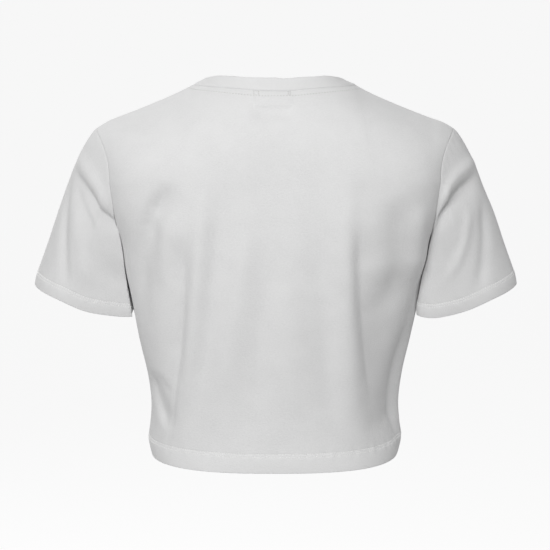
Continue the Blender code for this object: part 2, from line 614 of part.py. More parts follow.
def make_neckband():
    """Shape the folded rib band that stands on the neckline."""
    loop, seam_out = neck_loop()
    rise = band_directions(loop)
    around = np.roll(loop, -1, axis=0) - np.roll(loop, 1, axis=0)
    band_out = unit(np.cross(rise, around))
    profile = (BandRow(0.00, 0.0000, 1.00, 0.0), BandRow(0.30, 0.0004, 1.00, 0.6),
               BandRow(0.65, 0.0005, 1.00, 1.0), BandRow(0.93, 0.0001, 0.90, 1.0),
               BandRow(1.00, -0.0006, 0.35, 1.0))
    outer_points, inner_points = [], []
    for row in profile:
        out = unit(seam_out + (band_out - seam_out) * row.own_way)
        outer = loop + rise * (SEAM_GAP + row.height * (BAND_HEIGHT - SEAM_GAP)) + out * row.bulge
        outer_points.append(outer)
        inner_points.append(outer - out * BAND_WALL * row.wall)
    return make_wall("neckband", np.array(outer_points), np.array(inner_points), True, RIB, turned=True)


def make_label():
    """Lay the blank label inside the back neck, made from the back panel's own points."""
    per_across = NECK_HALF_WIDTH * (math.pi / 2) / NECK_SHARE
    columns = np.linspace(LABEL_CENTRE - LABEL_WIDTH / 2, LABEL_CENTRE + LABEL_WIDTH / 2, 5) / per_across
    ends = panel_surface(BACK, np.zeros(2), np.array([2.0, 3.0]))[0]
    yoke = np.linalg.norm(ends[1] - ends[0])
    rows = np.linspace(3 - (LABEL_HEIGHT + 0.001) / yoke, 3 - 0.001 / yoke, 5)
    across, up = np.meshgrid(columns, rows)
    points, normals = panel_surface(BACK, across, up)
    outer_points = points - normals * (WALL + LABEL_CLEARANCE)
    inner_points = outer_points - normals * LABEL_WALL
    return make_wall("label", outer_points, inner_points, False, TAPE, turned=True)


def main():
    """Clear the scene and make the six pieces."""
    for old in list(bpy.data.objects):
        bpy.data.objects.remove(old)
    make_panel("back", BACK)
    make_panel("front", FRONT)
    make_sleeve("sleeve_left", 1, LEFT_SLEEVE_FOLDS, LEFT_TUCK)
    make_sleeve("sleeve_right", -1, RIGHT_SLEEVE_FOLDS, RIGHT_TUCK)
    make_neckband()
    make_label()


main()
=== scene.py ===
"""Looks of the crop top: fine cloth shells, neckband, label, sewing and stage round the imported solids.

Metres, +Z up. The front faces -Y and the wearer's left is +X. The cloth has the form of the solids,
worked out from the same named sizes, with finer folds, seams and hems.

A panel has two coordinates. "across" runs from -1 at the right edge to 1 at the left edge. "up" runs
from 0 at the hem to 1 at the underarm, 2 at the line across the shoulder blades, and 3 at the
shoulder seam and neckline.
"""

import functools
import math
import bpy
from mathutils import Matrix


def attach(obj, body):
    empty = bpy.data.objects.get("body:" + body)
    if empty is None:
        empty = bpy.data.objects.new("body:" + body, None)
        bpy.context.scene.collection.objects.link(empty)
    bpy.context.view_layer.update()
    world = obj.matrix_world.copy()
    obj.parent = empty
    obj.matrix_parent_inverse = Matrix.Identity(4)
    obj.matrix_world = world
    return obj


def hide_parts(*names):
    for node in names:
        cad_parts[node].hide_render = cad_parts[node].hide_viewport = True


bl_info = {
    "name": "Crop top",
    "version": (1, 0, 0),
    "blender": (4, 5, 0),
    "location": "View3D > Sidebar > Crop top",
    "description": "Sews the cloth, neckband, label and stitching of a crop top round its solids",
    "category": "Object",
}

from collections import namedtuple

import bpy
import numpy as np
from mathutils import Vector
from mathutils.kdtree import KDTree

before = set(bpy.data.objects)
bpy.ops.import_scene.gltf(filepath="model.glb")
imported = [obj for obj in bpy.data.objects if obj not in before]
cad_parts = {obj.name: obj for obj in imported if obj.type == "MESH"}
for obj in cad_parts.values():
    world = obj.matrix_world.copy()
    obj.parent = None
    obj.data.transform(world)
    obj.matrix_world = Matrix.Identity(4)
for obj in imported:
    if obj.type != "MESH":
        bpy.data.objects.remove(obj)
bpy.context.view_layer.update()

# ---------------------------------------------------------------- driving dimensions
BAND_WALL = 0.0022
SEAM_GAP = 0.00005

BODY_HEM = 0.020
SLEEVE_HEM = 0.016

NECK_HALF_WIDTH = 0.0910
NECK_POINT_Y = -0.0080
NECK_BACK_Y = 0.0555
NECK_FRONT_DROP = 0.0800
NECK_BACK_ROUNDNESS = 2.0
NECK_FRONT_ROUNDNESS = 2.0
BAND_HEIGHT = 0.0148

SHOULDER_TIP_X = 0.2033
SHOULDER_TIP_Y = -0.0120
RIGHT_SHOULDER_SAG = 0.0016

SLEEVE_MOUTH = (0.2206, -0.0280, -0.2508)
SLEEVE_MOUTH_HALF_WIDTH = 0.0630
SLEEVE_MOUTH_HALF_DEPTH = 0.0520
SLEEVE_MOUTH_TILT = math.radians(17.4)
SLEEVE_MOUTH_LEAN = math.radians(3.0)
SLEEVE_ROUNDNESS = 2.15
SLEEVE_INNER_SQUARENESS = 4.4
SLEEVE_GIRTH_RADIUS = 0.060
SLEEVE_LENGTH = 0.150

# The gap that a sleeve keeps from the body beside it, the share of its length over which the gap
# opens, how softly it settles there, and how far it may follow a trough of the body's folds.
SLEEVE_CLEARANCE = 0.0008
CLEARANCE_RUN = 0.05
SLEEVE_SETTLE = 0.0003
TROUGH_FOLLOWED = 0.0025

# How the hem edge of a sleeve sags behind and lifts towards the underarm: the middle of each in
# degrees round the sleeve, how many degrees it spreads, and its height.
MouthWave = namedtuple("MouthWave", "place spread height")
MOUTH_WAVES = (
    MouthWave(place=100, spread=50, height=-0.0032),
    MouthWave(place=162, spread=42, height=0.0085),
)

# Where each sleeve is tucked against the body behind the underarm, how far, and the share of its
# length over which the tuck comes and goes.
TUCK_PLACE = math.radians(140)
TUCK_SPREAD = math.radians(52)
LEFT_TUCK = 0.024
RIGHT_TUCK = 0.005
TUCK_AT_MOUTH = 0.55
TUCK_RUN = 0.25

LABEL_WIDTH = 0.040
LABEL_HEIGHT = 0.021
LABEL_CENTRE = 0.0033

COLUMN_SPREAD = 0.9
CROWDING_AT_UNDERARM = 5.0
CROWDING_AT_BLADES = 2.0

BACK = 1
FRONT = -1

# ---------------------------------------------------------------- sections of the body
# Level sections from the hem to the shoulder blades: the half width at the side, how far the back
# and the front panel stand from the side-seam plane, and how square the rounded section is. Above
# the underarm the sections are whole too, and the armholes are cut out of them.
Level = namedtuple("Level", "z half_width back front squareness")
LEVELS = (
    Level(-0.4245, 0.1450, 0.1124, 0.1100, 2.50),
    Level(-0.4080, 0.1466, 0.1097, 0.1085, 2.32),
    Level(-0.3890, 0.1445, 0.1065, 0.1070, 2.34),
    Level(-0.3700, 0.1431, 0.1045, 0.1065, 2.37),
    Level(-0.3320, 0.1470, 0.1030, 0.1090, 2.40),
    Level(-0.2940, 0.1554, 0.1035, 0.1140, 2.42),
    Level(-0.2560, 0.1634, 0.1045, 0.1190, 2.50),
    Level(-0.2135, 0.1709, 0.1050, 0.1210, 2.65),
    Level(-0.1720, 0.1770, 0.1045, 0.1172, 2.85),
    Level(-0.1400, 0.1870, 0.1020, 0.1110, 3.00),
    Level(-0.1050, 0.1950, 0.0975, 0.1020, 3.10),
)

# The lower half of each armhole, from the underarm up to its narrowest place: how far it stands
# from the side-seam plane at each height.
ScyePoint = namedtuple("ScyePoint", "z back front")
SCYE = (
    ScyePoint(-0.1720, 0.00015, 0.00015),
    ScyePoint(-0.1685, 0.0200, 0.0220),
    ScyePoint(-0.1580, 0.0355, 0.0395),
    ScyePoint(-0.1420, 0.0460, 0.0515),
    ScyePoint(-0.1230, 0.0510, 0.0580),
    ScyePoint(-0.1050, 0.0525, 0.0595),
)
HEM_Z = LEVELS[0].z
UNDERARM_Z = SCYE[0].z
BLADES_Z = SCYE[-1].z

# The top of the form seen from the front or back: the shoulder seam from the neck to the tip, and
# inside the neck the line on which the two panels would meet if no neck were cut out of them.
ShoulderPoint = namedtuple("ShoulderPoint", "x z")
SHOULDER = (
    ShoulderPoint(0.0000, 0.0285),
    ShoulderPoint(0.0300, 0.0252),
    ShoulderPoint(0.0600, 0.0152),
    ShoulderPoint(0.0910, 0.0000),
    ShoulderPoint(0.1080, -0.0086),
    ShoulderPoint(0.1310, -0.0190),
    ShoulderPoint(0.1540, -0.0284),
    ShoulderPoint(0.1770, -0.0374),
    ShoulderPoint(0.1885, -0.0418),
    ShoulderPoint(0.2033, -0.0506),
)

# How far the centre of a panel leans in already at the line across the shoulder blades.
BACK_LEAN = math.radians(7)
FRONT_LEAN = math.radians(14)

# How late the panels spread out to the shoulder seam on their way up to it, and how narrowly the
# sleeve's start is held to the underarm.
SHOULDER_SPREAD = 2.5
UNDERARM_HOLD = 6

# How the sleeve leaves the armhole and comes to its mouth, at four places round it: the direction
# and length of the curve's handle at each end.
SleeveLine = namedtuple("SleeveLine", "leave leave_reach arrive arrive_reach")
SLEEVE_TOP = SleeveLine((0.74, 0.00, -0.67), 0.036, (0.37, -0.05, -0.928), 0.082)
SLEEVE_REAR = SleeveLine((0.50, -0.26, -0.82), 0.045, (0.27, -0.10, -0.960), 0.060)
SLEEVE_UNDER = SleeveLine((-0.20, -0.30, -0.930), 0.036, (-0.16, -0.10, -0.980), 0.040)
SLEEVE_FORE = SleeveLine((0.54, 0.10, -0.84), 0.045, (0.27, -0.08, -0.960), 0.060)

# The neckband leans in towards the neck, most at its sides, a little more on the right than on the
# left. The rounder the lean, the closer to the sides it stays.
BAND_LEAN_BACK = math.radians(23)
BAND_LEAN_SIDE = math.radians(64)
BAND_LEAN_RIGHT = math.radians(5)
BAND_LEAN_FRONT = math.radians(34)
BAND_LEAN_ROUNDNESS = 3.2
BAND_TURN_SHARE = 0.65

# ---------------------------------------------------------------- folds
# A fold runs from start past bend to end, (x, z) on a panel. A row gives those three, then its width,
# height and skew. Its height is above zero for a ridge and below zero for a trough, and it dies away
# over its width and towards both ends. Skew makes it steeper on the left of its run and gentler on
# the right, or the other way when negative.
Fold = namedtuple("Fold", "start bend end width height skew", defaults=(0.0,))
BACK_FOLDS = (
    Fold((0.1370, -0.135), (0.1350, -0.190), (0.1310, -0.250), 0.0090, -0.0022),
    Fold((0.1005, -0.152), (0.1070, -0.238), (0.1145, -0.350), 0.0135, -0.0068, -0.25),
    Fold((0.0780, -0.065), (0.0875, -0.220), (0.1075, -0.385), 0.0110, 0.0040),
    Fold((0.0575, -0.095), (0.0700, -0.235), (0.0890, -0.395), 0.0160, -0.0046, 0.2),
    Fold((0.0270, -0.120), (0.0445, -0.245), (0.0780, -0.395), 0.0150, 0.0034),
    Fold((0.0100, -0.180), (0.0180, -0.290), (0.0260, -0.400), 0.0130, -0.0022),
    Fold((-0.0140, -0.140), (-0.0160, -0.270), (-0.0220, -0.400), 0.0150, 0.0024),
    Fold((-0.0460, -0.120), (-0.0570, -0.260), (-0.0680, -0.410), 0.0170, -0.0042),
    Fold((-0.0840, -0.060), (-0.0790, -0.225), (-0.0980, -0.408), 0.0150, 0.0040, -0.2),
    Fold((-0.0950, -0.140), (-0.0990, -0.240), (-0.1200, -0.372), 0.0200, -0.0060, 0.62),
    Fold((-0.1330, -0.190), (-0.1370, -0.300), (-0.1430, -0.445), 0.0360, -0.0140),
    Fold((-0.1330, -0.110), (-0.1430, -0.180), (-0.1450, -0.255), 0.0200, -0.0070),
    Fold((-0.1590, -0.125), (-0.1640, -0.170), (-0.1600, -0.225), 0.0090, 0.0030),
    Fold((0.1420, -0.316), (0.1340, -0.3560), (0.1180, -0.388), 0.0080, -0.0056, 0.5),
    Fold((0.1340, -0.322), (0.1250, -0.3360), (0.1150, -0.341), 0.0040, -0.0012),
    Fold((-0.1040, -0.366), (-0.1280, -0.3790), (-0.1480, -0.366), 0.0100, -0.0014),
    Fold((0.0320, -0.0215), (0.0, -0.0240), (-0.0290, -0.0215), 0.0085, -0.0032),
    Fold((0.0020, -0.050), (0.0000, -0.140), (0.0000, -0.270), 0.0420, -0.0030),
)
FRONT_FOLDS = (
    Fold((0.118, -0.100), (0.150, -0.118), (0.166, -0.205), 0.015, -0.0055),
    Fold((-0.112, -0.100), (-0.148, -0.120), (-0.162, -0.210), 0.016, -0.0060),
    Fold((0.070, -0.165), (0.084, -0.280), (0.108, -0.400), 0.018, 0.0034),
    Fold((-0.076, -0.160), (-0.082, -0.290), (-0.098, -0.405), 0.017, 0.0036),
    Fold((0.036, -0.230), (0.040, -0.310), (0.052, -0.395), 0.015, -0.0028),
    Fold((-0.034, -0.215), (-0.040, -0.300), (-0.046, -0.390), 0.015, -0.0030),
    Fold((0.000, -0.130), (0.000, -0.190), (0.002, -0.260), 0.035, -0.0024),
    Fold((0.140, -0.340), (0.126, -0.368), (0.106, -0.390), 0.012, -0.0038),
    Fold((-0.106, -0.358), (-0.126, -0.372), (-0.144, -0.388), 0.012, -0.0036),
)

# On a sleeve a fold's places are (degrees round it, share of its length). 0 degrees is the top, 90
# the back, 180 the underarm and 270 the front.
LEFT_SLEEVE_FOLDS = (
    Fold((14, 0.350), (72, 0.300), (138, 0.085), 0.0090, -0.0044, -0.45),
    Fold((-4, 0.265), (62, 0.228), (120, 0.010), 0.0085, 0.0034),
    Fold((2, 0.370), (40, 0.650), (68, 0.960), 0.0070, -0.0036),
    Fold((26, 0.390), (60, 0.430), (100, 0.400), 0.0075, -0.0018, -0.4),
    Fold((34, 0.460), (68, 0.640), (96, 0.860), 0.0120, 0.0018),
    Fold((112, 0.480), (124, 0.900), (132, 1.400), 0.0180, -0.0046),
    Fold((326, 0.260), (282, 0.150), (232, 0.020), 0.0100, -0.0046),
    Fold((340, 0.200), (296, 0.080), (256, 0.000), 0.0110, 0.0030),
    Fold((330, 0.300), (304, 0.620), (280, 0.920), 0.0080, -0.0032),
    Fold((300, 0.380), (272, 0.600), (250, 0.840), 0.0120, 0.0018),
)
RIGHT_SLEEVE_FOLDS = (
    Fold((14, 0.390), (74, 0.262), (142, 0.000), 0.0088, -0.0056, -0.5),
    Fold((-8, 0.335), (58, 0.207), (118, -0.020), 0.0064, 0.0036),
    Fold((22, 0.460), (50, 0.720), (76, 0.940), 0.0090, -0.0030),
    Fold((50, 0.430), (80, 0.590), (120, 0.760), 0.0090, 0.0022),
    Fold((0, 0.450), (4, 0.800), (8, 1.150), 0.0180, 0.0022),
    Fold((322, 0.240), (278, 0.160), (228, 0.040), 0.0110, -0.0050),
    Fold((338, 0.180), (294, 0.090), (252, 0.010), 0.0110, 0.0032),
    Fold((326, 0.320), (298, 0.600), (284, 0.900), 0.0090, -0.0034),
    Fold((290, 0.380), (262, 0.580), (240, 0.800), 0.0120, 0.0022),
)

# ---------------------------------------------------------------- fine cloth sizes
# Share of a panel's half width that the neckline takes at the top.
NECK_SHARE = 9 / 16
# Half the width of a panel round the body, and the length from the shoulder blades to its top.
HALF_PANEL = 0.235
YOKE_LENGTH = 0.115

# Rows and columns of points: close together at seams, hems and the neckline.
SEAM_STEPS = (0.0008, 0.0017, 0.0030, 0.0050)
HEM_ZONE = 0.0240
HEM_ROW = 0.00075
NECK_ZONE = 0.0220
NECK_COLUMNS = 46
SHOULDER_COLUMNS = 38
BODY_ROWS = 72
SCYE_ROWS = 42
YOKE_ROWS = 44
NECK_ROWS = 22
SLEEVE_HALF_COLUMNS = 76
SLEEVE_ROWS = 60
BAND_BACK_COLUMNS = 150
BAND_FRONT_COLUMNS = 190

# The cloth rolls in at a seam, over the puffed ridge that its allowance makes beside it.
SEAM_DIP = 0.00022
SEAM_DIP_WIDTH = 0.0010
ALLOWANCE_HEIGHT = 0.00008
ALLOWANCE_WIDTH = 0.0070

# Twin-needle rows, by their height above the hem edge, and the row below the neckline.
BODY_STITCH_ROWS = (0.0180, 0.0210)
SLEEVE_STITCH_ROWS = (0.0135, 0.0165)
NECK_STITCH_ROW = 0.0075

# A stitch's share of its pitch, and the shares of it that are its straight part, each rounded end,
# the narrowing there and its flatness. Those of the neck and the label lie deep in their needle holes,
# further apart, and their thread is coloured darker as painted shade of those holes.
STITCH_SHARE = 0.52
STITCH_STRAIGHT = 0.7
STITCH_END = 0.15
STITCH_NARROWING = 0.22
STITCH_FLATNESS = 0.8
SUNK_STITCHES_WITH_PAINTED_SHADE = ("stitches_neck", "stitches_label")
SUNK_PITCH = 1.2

# The doubled hem: its edge, how far it rolls in, its step and where that step runs out.
HEM_EDGE = 0.0005
HEM_ROLL = 0.0018
HEM_STEP = 0.00035
HEM_STEP_PAST = 0.0012
HEM_STEP_RUN = 0.0020

# The grooves that stitches pull, and how far from them the cloth puckers.
GROOVE_DEPTH = 0.00030
GROOVE_WIDTH = 0.0008
PUCKER_SPREAD = 0.006

# The patch that the label raises in the back, and the tacks that hold its ends.
LABEL_STITCH_PLACES = (0.0233, 0.0180, -0.0145, -0.0167)
LABEL_RISE = 0.00100
LABEL_SIDE_RUN = 0.0016
LABEL_FOOT_RUN = 0.0022
LABEL_TOP_RUN = 0.002
TACK_DEPTH = 0.00035
TACK_WIDTH = 0.00060
TACK_RUN = 0.0012

# How far the neckband stands out from the line of the seam, and the slit between its two layers.
BAND_BULGE = 0.0002
BAND_SLIT = 0.0002

# Gathered fullness along the sleeve's head, where it is eased into the armhole.
EASE_HEIGHT = 0.00022
EASE_LENGTH = 0.0130
EASE_PLACE = 0.006

# The share of its run over which a fold dies away, the legs it is drawn in, and how far from a seam
# the folds reach their full height.
FOLD_FADE = 0.3
FOLD_LEGS = 14
FOLD_HOLD = 0.026
SLEEVE_FOLD_HOLD = 0.014
CREASE_HOLD = 0.006

# Small uneven swells: the way a wave runs, its length and its height.
Wave = namedtuple("Wave", "way length height shift", defaults=((1.0, 0.0, 0.0), 0.01, 0.0001, 0.0))
SWELLS = (
    Wave(way=(0.92, 0.10, 0.38), length=0.061, height=0.00012, shift=0.7),
    Wave(way=(0.78, -0.20, -0.59), length=0.043, height=0.00010, shift=2.9),
    Wave(way=(0.30, 0.25, 0.92), length=0.034, height=0.00006, shift=5.1),
    Wave(way=(-0.55, 0.30, 0.78), length=0.023, height=0.00004, shift=1.6),
)
PUCKERS = (
    Wave(length=0.0112, height=0.00018, shift=0.3),
    Wave(length=0.0187, height=0.00020, shift=2.2),
)
BAND_WAVES = (
    Wave(way=(1.0, 0.0, 0.0), length=0.071, height=0.00035, shift=1.1),
    Wave(way=(0.8, 0.6, 0.0), length=0.033, height=0.00020, shift=0.2),
)

# Finer creases beside the large folds.
BACK_CREASES = (
    Fold((0.1040, -0.103), (0.1455, -0.165), (0.1500, -0.290), 0.0125, -0.0098, 0.15),
    Fold((0.0970, -0.180), (0.1085, -0.305), (0.1220, -0.412), 0.0026, -0.0014),
    Fold((0.1960, -0.0468), (0.1641, -0.0379), (0.1230, -0.0300), 0.0040, -0.0009),
    Fold((0.1900, -0.0496), (0.1780, -0.0490), (0.1620, -0.0482), 0.0030, -0.0005),
)
FRONT_CREASES = ()
LEFT_SLEEVE_CREASES = (
    Fold((30, 0.338), (80, 0.278), (138, 0.080), 0.0026, -0.0005),
)
RIGHT_SLEEVE_CREASES = (
    Fold((28, 0.355), (78, 0.236), (146, -0.020), 0.0022, -0.0012),
)

# ---------------------------------------------------------------- cut sizes and stage
# The flat size of each cut piece, and its area where it isn't a rectangle.
BODY_CUT = (0.480, 0.460)
BODY_CUT_AREA = 0.190
SLEEVE_CUT = (0.390, 0.200)
SLEEVE_CUT_AREA = 0.056
LABEL_THICKNESS = 0.0006
LABEL_GAP = 0.0003
LABEL_COLUMNS = 25

# The view: the focal length in pixels, the width it is counted in, and the point looked at.
FOCAL_PIXELS = 2174
IMAGE_PIXELS = 550
GARMENT_MIDDLE = (0.0, 0.0, -0.219)

# What the jersey's and the rib's cotton share, and how often Blender's wave texture repeats in a unit.
COTTON = {"IOR": 1.47, "Specular IOR Level": 0.22, "Sheen Weight": 0.22, "Sheen Roughness": 0.55}
WAVE_REPEAT = 0.31416

# The soft lights: the place of each, its width, and its share of the key light's power.
Lamp = namedtuple("Lamp", "name place width share")
LAMPS = (
    Lamp(name="key", place=(0.52, 2.05, 0.90), width=1.3, share=1.0),
    Lamp(name="shoulder_fill", place=(-1.10, 1.00, 1.90), width=1.4, share=0.13),
    Lamp(name="front_fill", place=(0.9, -2.0, 1.3), width=1.8, share=0.7),
)

# The floor is flat out to its bend, and then rises in a gentle sweep.
FLOOR_FLAT = 9.0
FLOOR_REACH = 36.0
FLOOR_RISE = 9.0
FLOOR_STEPS = 12

# ---------------------------------------------------------------- curves and folds
def curve_through(rows, key, column, at):
    """Read a smooth curve through one column of a table, at places along another."""
    places = np.array([getattr(row, key) for row in rows])
    values = np.array([getattr(row, column) for row in rows])
    slopes = np.gradient(values, places)
    low = np.clip(np.searchsorted(places, at) - 1, 0, len(places) - 2)
    span = places[low + 1] - places[low]
    u = (at - places[low]) / span
    return (values[low] * (1 + 2 * u) * (1 - u) ** 2
            + slopes[low] * span * u * (1 - u) ** 2
            + values[low + 1] * u * u * (3 - 2 * u)
            + slopes[low + 1] * span * u * u * (u - 1))


def smooth_step(x):
    """Rise gently from 0 to 1 while x goes from 0 to 1."""
    x = np.clip(x, 0.0, 1.0)
    return x * x * (3 - 2 * x)


def unit(vectors):
    """Scale vectors to length one."""
    return vectors / np.linalg.norm(vectors, axis=-1, keepdims=True)


def fold_relief(folds, across, down, scale=(1.0, 1.0)):
    """Add up the heights that the folds give the cloth at the given places."""
    relief = np.zeros_like(across)
    for fold in folds:
        start, bend, end = (np.array(point) * scale for point in (fold.start, fold.bend, fold.end))
        control = 2 * bend - (start + end) / 2
        steps = np.linspace(0.0, 1.0, FOLD_LEGS + 1)[:, None]
        path = start * (1 - steps) ** 2 + control * 2 * steps * (1 - steps) + end * steps ** 2
        nearest = np.full_like(across, np.inf)
        along = np.zeros_like(across)
        side = np.zeros_like(across)
        for i in range(len(path) - 1):
            leg = path[i + 1] - path[i]
            dx, dz = across - path[i, 0], down - path[i, 1]
            share = np.clip((dx * leg[0] + dz * leg[1]) / (leg @ leg), 0.0, 1.0)
            distance = np.hypot(dx - share * leg[0], dz - share * leg[1])
            nearer = distance < nearest
            along = np.where(nearer, (i + share) / (len(path) - 1), along)
            side = np.where(nearer, np.sign(leg[0] * dz - leg[1] * dx), side)
            nearest = np.minimum(distance, nearest)
        fade = smooth_step(along / FOLD_FADE) * smooth_step((1 - along) / FOLD_FADE)
        width = fold.width * (1 - fold.skew * side)
        relief += fold.height * fade * np.exp(-(nearest / width) ** 2)
    return relief


# ---------------------------------------------------------------- body panels
def section_point(angle, half_width, depth, squareness):
    """Point on a rounded section, at an angle from its centre line."""
    reach = ((np.abs(np.sin(angle)) / half_width) ** squareness
             + (np.abs(np.cos(angle)) / depth) ** squareness) ** (-1 / squareness)
    return reach * np.sin(angle), reach * np.cos(angle)


def section_side(y, half_width, depth, squareness):
    """Half width of a rounded section at a distance from its middle plane."""
    share = np.clip(np.abs(y) / depth, 0.0, 0.99)
    return half_width * (1 - share ** squareness) ** (1 / squareness)


def section_at(side, z):
    """Half width, depth and squareness of the body on one side at a height."""
    depth = curve_through(LEVELS, "z", "back" if side == BACK else "front", z)
    return curve_through(LEVELS, "z", "half_width", z), depth, curve_through(LEVELS, "z", "squareness", z)


def level_point(side, across, up):
    """Point on a panel between the hem and the shoulder blades, where every row is level."""
    z = np.where(up < 1, HEM_Z + (UNDERARM_Z - HEM_Z) * up,
                 UNDERARM_Z + (BLADES_Z - UNDERARM_Z) * (up - 1))
    section = section_at(side, z)
    scye_y = curve_through(SCYE, "z", "back" if side == BACK else "front", np.maximum(z, UNDERARM_Z))
    edge_y = np.where(up <= 1, SEAM_GAP / 2, scye_y)
    share = np.abs(across)
    cut_away = math.pi / 2 - np.arctan2(section_side(edge_y, *section), edge_y)
    crowding = CROWDING_AT_UNDERARM + (CROWDING_AT_BLADES - CROWDING_AT_UNDERARM) * np.clip(up - 1, 0, 1)
    angle = np.sign(across) * (math.pi / 2 * share ** COLUMN_SPREAD - cut_away * share ** crowding)
    x, y = section_point(angle, *section)
    return np.stack([x, side * y, z], axis=-1)


def ridge_point(side, across):
    """Point on the top line of the form, where the back and the front meet."""
    share = np.abs(across)
    neck = NECK_SHARE
    bend = (SHOULDER_TIP_X - NECK_HALF_WIDTH / neck) / (1 - neck ** 2)
    x = (SHOULDER_TIP_X - bend) * share + bend * share ** 3
    out = (x - NECK_HALF_WIDTH) / (SHOULDER_TIP_X - NECK_HALF_WIDTH)
    y = NECK_POINT_Y + (SHOULDER_TIP_Y - NECK_POINT_Y) * np.maximum(out, 0.0) + side * SEAM_GAP / 2
    z = curve_through(SHOULDER, "x", "z", x)
    right = np.where(across < 0, 1.0, 0.0)
    z -= RIGHT_SHOULDER_SAG * right * smooth_step(out / 0.2 + 0.5) * smooth_step((1 - out) / 0.25)
    return np.stack([x * np.sign(across), y, z], axis=-1)


def lean_at(side, across):
    """How far a column of the panel leans in at the line across the shoulder blades."""
    return (BACK_LEAN if side == BACK else FRONT_LEAN) * (1 - smooth_step(np.abs(across)))


def form_point(side, across, up):
    """Point on the smooth form of the back or the front, as if no neck were cut out of it."""
    below = level_point(side, across, np.minimum(up, 2.0))
    ridge = ridge_point(side, across)
    lean = lean_at(side, across)
    turn = lean + (math.pi / 2 - lean) * np.maximum(up - 2.0, 0.0)
    rise = (np.sin(turn) - np.sin(lean)) / (1 - np.sin(lean))
    run = (np.cos(lean) - np.cos(turn)) / np.cos(lean)
    spread = np.abs(rise) ** SHOULDER_SPREAD
    x = below[..., 0] + (ridge[..., 0] - below[..., 0]) * spread
    y = below[..., 1] + (ridge[..., 1] - below[..., 1]) * run
    z = below[..., 2] + (ridge[..., 2] - below[..., 2]) * rise
    return np.stack([x, y, z], axis=-1)


def neckline_height(side, across):
    """How far up the form the neckline crosses it. Outside the neck it is the shoulder seam, at 3."""
    blades = level_point(side, across, np.full_like(across, 2.0))
    ridge = ridge_point(side, across)
    lean = lean_at(side, across)
    share = np.clip(np.abs(ridge[..., 0]) / NECK_HALF_WIDTH, 0.0, 1.0)
    power = NECK_BACK_ROUNDNESS if side == BACK else NECK_FRONT_ROUNDNESS
    bow = (1 - share ** power) ** (1 / power)
    if side == BACK:
        neck_y = ridge[..., 1] + (NECK_BACK_Y - ridge[..., 1]) * bow
        run = (neck_y - blades[..., 1]) / (ridge[..., 1] - blades[..., 1])
        turn = np.arccos(np.clip(np.cos(lean) * (1 - run), 0.0, 1.0))
    else:
        neck_z = ridge[..., 2] * (1 - bow) - NECK_FRONT_DROP * bow
        rise = (neck_z - blades[..., 2]) / (ridge[..., 2] - blades[..., 2])
        turn = np.arcsin(np.clip(np.sin(lean) + (1 - np.sin(lean)) * rise, 0.0, 1.0))
    return np.where(share < 1, 2 + (turn - lean) / (math.pi / 2 - lean), 3.0)


def panel_place(side, across, up):
    """Turn a place in the cut panel into a place on the whole form.

    Towards the neckline the columns spread, so that they stand evenly round it.
    """
    neck = NECK_SHARE
    fanned = np.sign(across) * neck * np.sin(np.clip(np.abs(across) / neck, 0.0, 1.0) * math.pi / 2)
    fanned = np.where(np.abs(across) < neck, fanned, across)
    yoke = np.clip(up - 2.0, 0.0, 1.0)
    place = across + (fanned - across) * yoke
    height = np.where(up <= 2, up, 2 + (neckline_height(side, place) - 2) * yoke)
    return place, height


def panel_normal(side, across, up):
    """Direction straight out of the plain form of a body panel."""
    step = 1e-4
    along_across = form_point(side, across + step, up) - form_point(side, across - step, up)
    along_up = form_point(side, across, up + step) - form_point(side, across, up - step)
    return unit(np.cross(along_up, along_across) * side)


# ---------------------------------------------------------------- fine cloth
# A grid of cloth: its outer points, the direction out of them, each point's place in the flat cloth
# in mm, and its height above the hem edge.
Cloth = namedtuple("Cloth", "points out place hem_height")


def path_length(points, axis):
    """Length along a grid's rows or columns, from the first point to each."""
    steps = np.linalg.norm(np.diff(points, axis=axis), axis=-1)
    total = np.cumsum(steps, axis=axis)
    return np.concatenate([np.zeros_like(np.take(total, [0], axis=axis)), total], axis=axis)


def evenly(points, count):
    """Shares of a line at which count points stand evenly along it."""
    length = path_length(points, 0)
    return np.interp(np.linspace(0.0, length[-1], count), length, np.linspace(0.0, 1.0, len(points)))


def distance_to(points, line):
    """Distance of each point from the nearest point of a finely divided line."""
    tree = KDTree(len(line))
    for i, point in enumerate(line):
        tree.insert(point, i)
    tree.balance()
    return np.array([tree.find(point)[2] for point in points.reshape(-1, 3)]).reshape(points.shape[:-1])


def ripple(points, waves):
    """Small uneven swells of the cloth."""
    swell = np.zeros(points.shape[:-1])
    for wave in waves:
        swell += wave.height * np.sin(points @ np.array(wave.way) * (2 * math.pi / wave.length) + wave.shift)
    return swell


def seam_dip(distance):
    """How the cloth rolls in at a sewn edge, with the low puffed ridge of its allowance beside it."""
    return (-SEAM_DIP * np.exp(-(distance / SEAM_DIP_WIDTH) ** 2)
            + ALLOWANCE_HEIGHT * np.exp(-((distance - ALLOWANCE_WIDTH / 2) / (ALLOWANCE_WIDTH / 2)) ** 2))


def stitch_groove(distance):
    """How a row of stitches pulls the cloth down."""
    return -GROOVE_DEPTH * np.exp(-(distance / GROOVE_WIDTH) ** 2)


def hem_relief(hem_height, along, rows, turn_up):
    """Raised doubled cloth of a hem, its two rows of stitches and the small puckers between them."""
    doubled = HEM_STEP * smooth_step((turn_up + HEM_STEP_PAST - hem_height) / HEM_STEP_RUN)
    doubled -= HEM_ROLL * np.clip(1 - hem_height / turn_up, 0.0, 1.0) ** 2
    grooves = sum(stitch_groove(hem_height - row) for row in rows)
    near_rows = np.exp(-((hem_height - sum(rows) / 2) / PUCKER_SPREAD) ** 2)
    pucker = sum(wave.height * np.sin(along * (2 * math.pi / wave.length) + wave.shift) for wave in PUCKERS)
    return doubled + grooves + pucker * near_rows


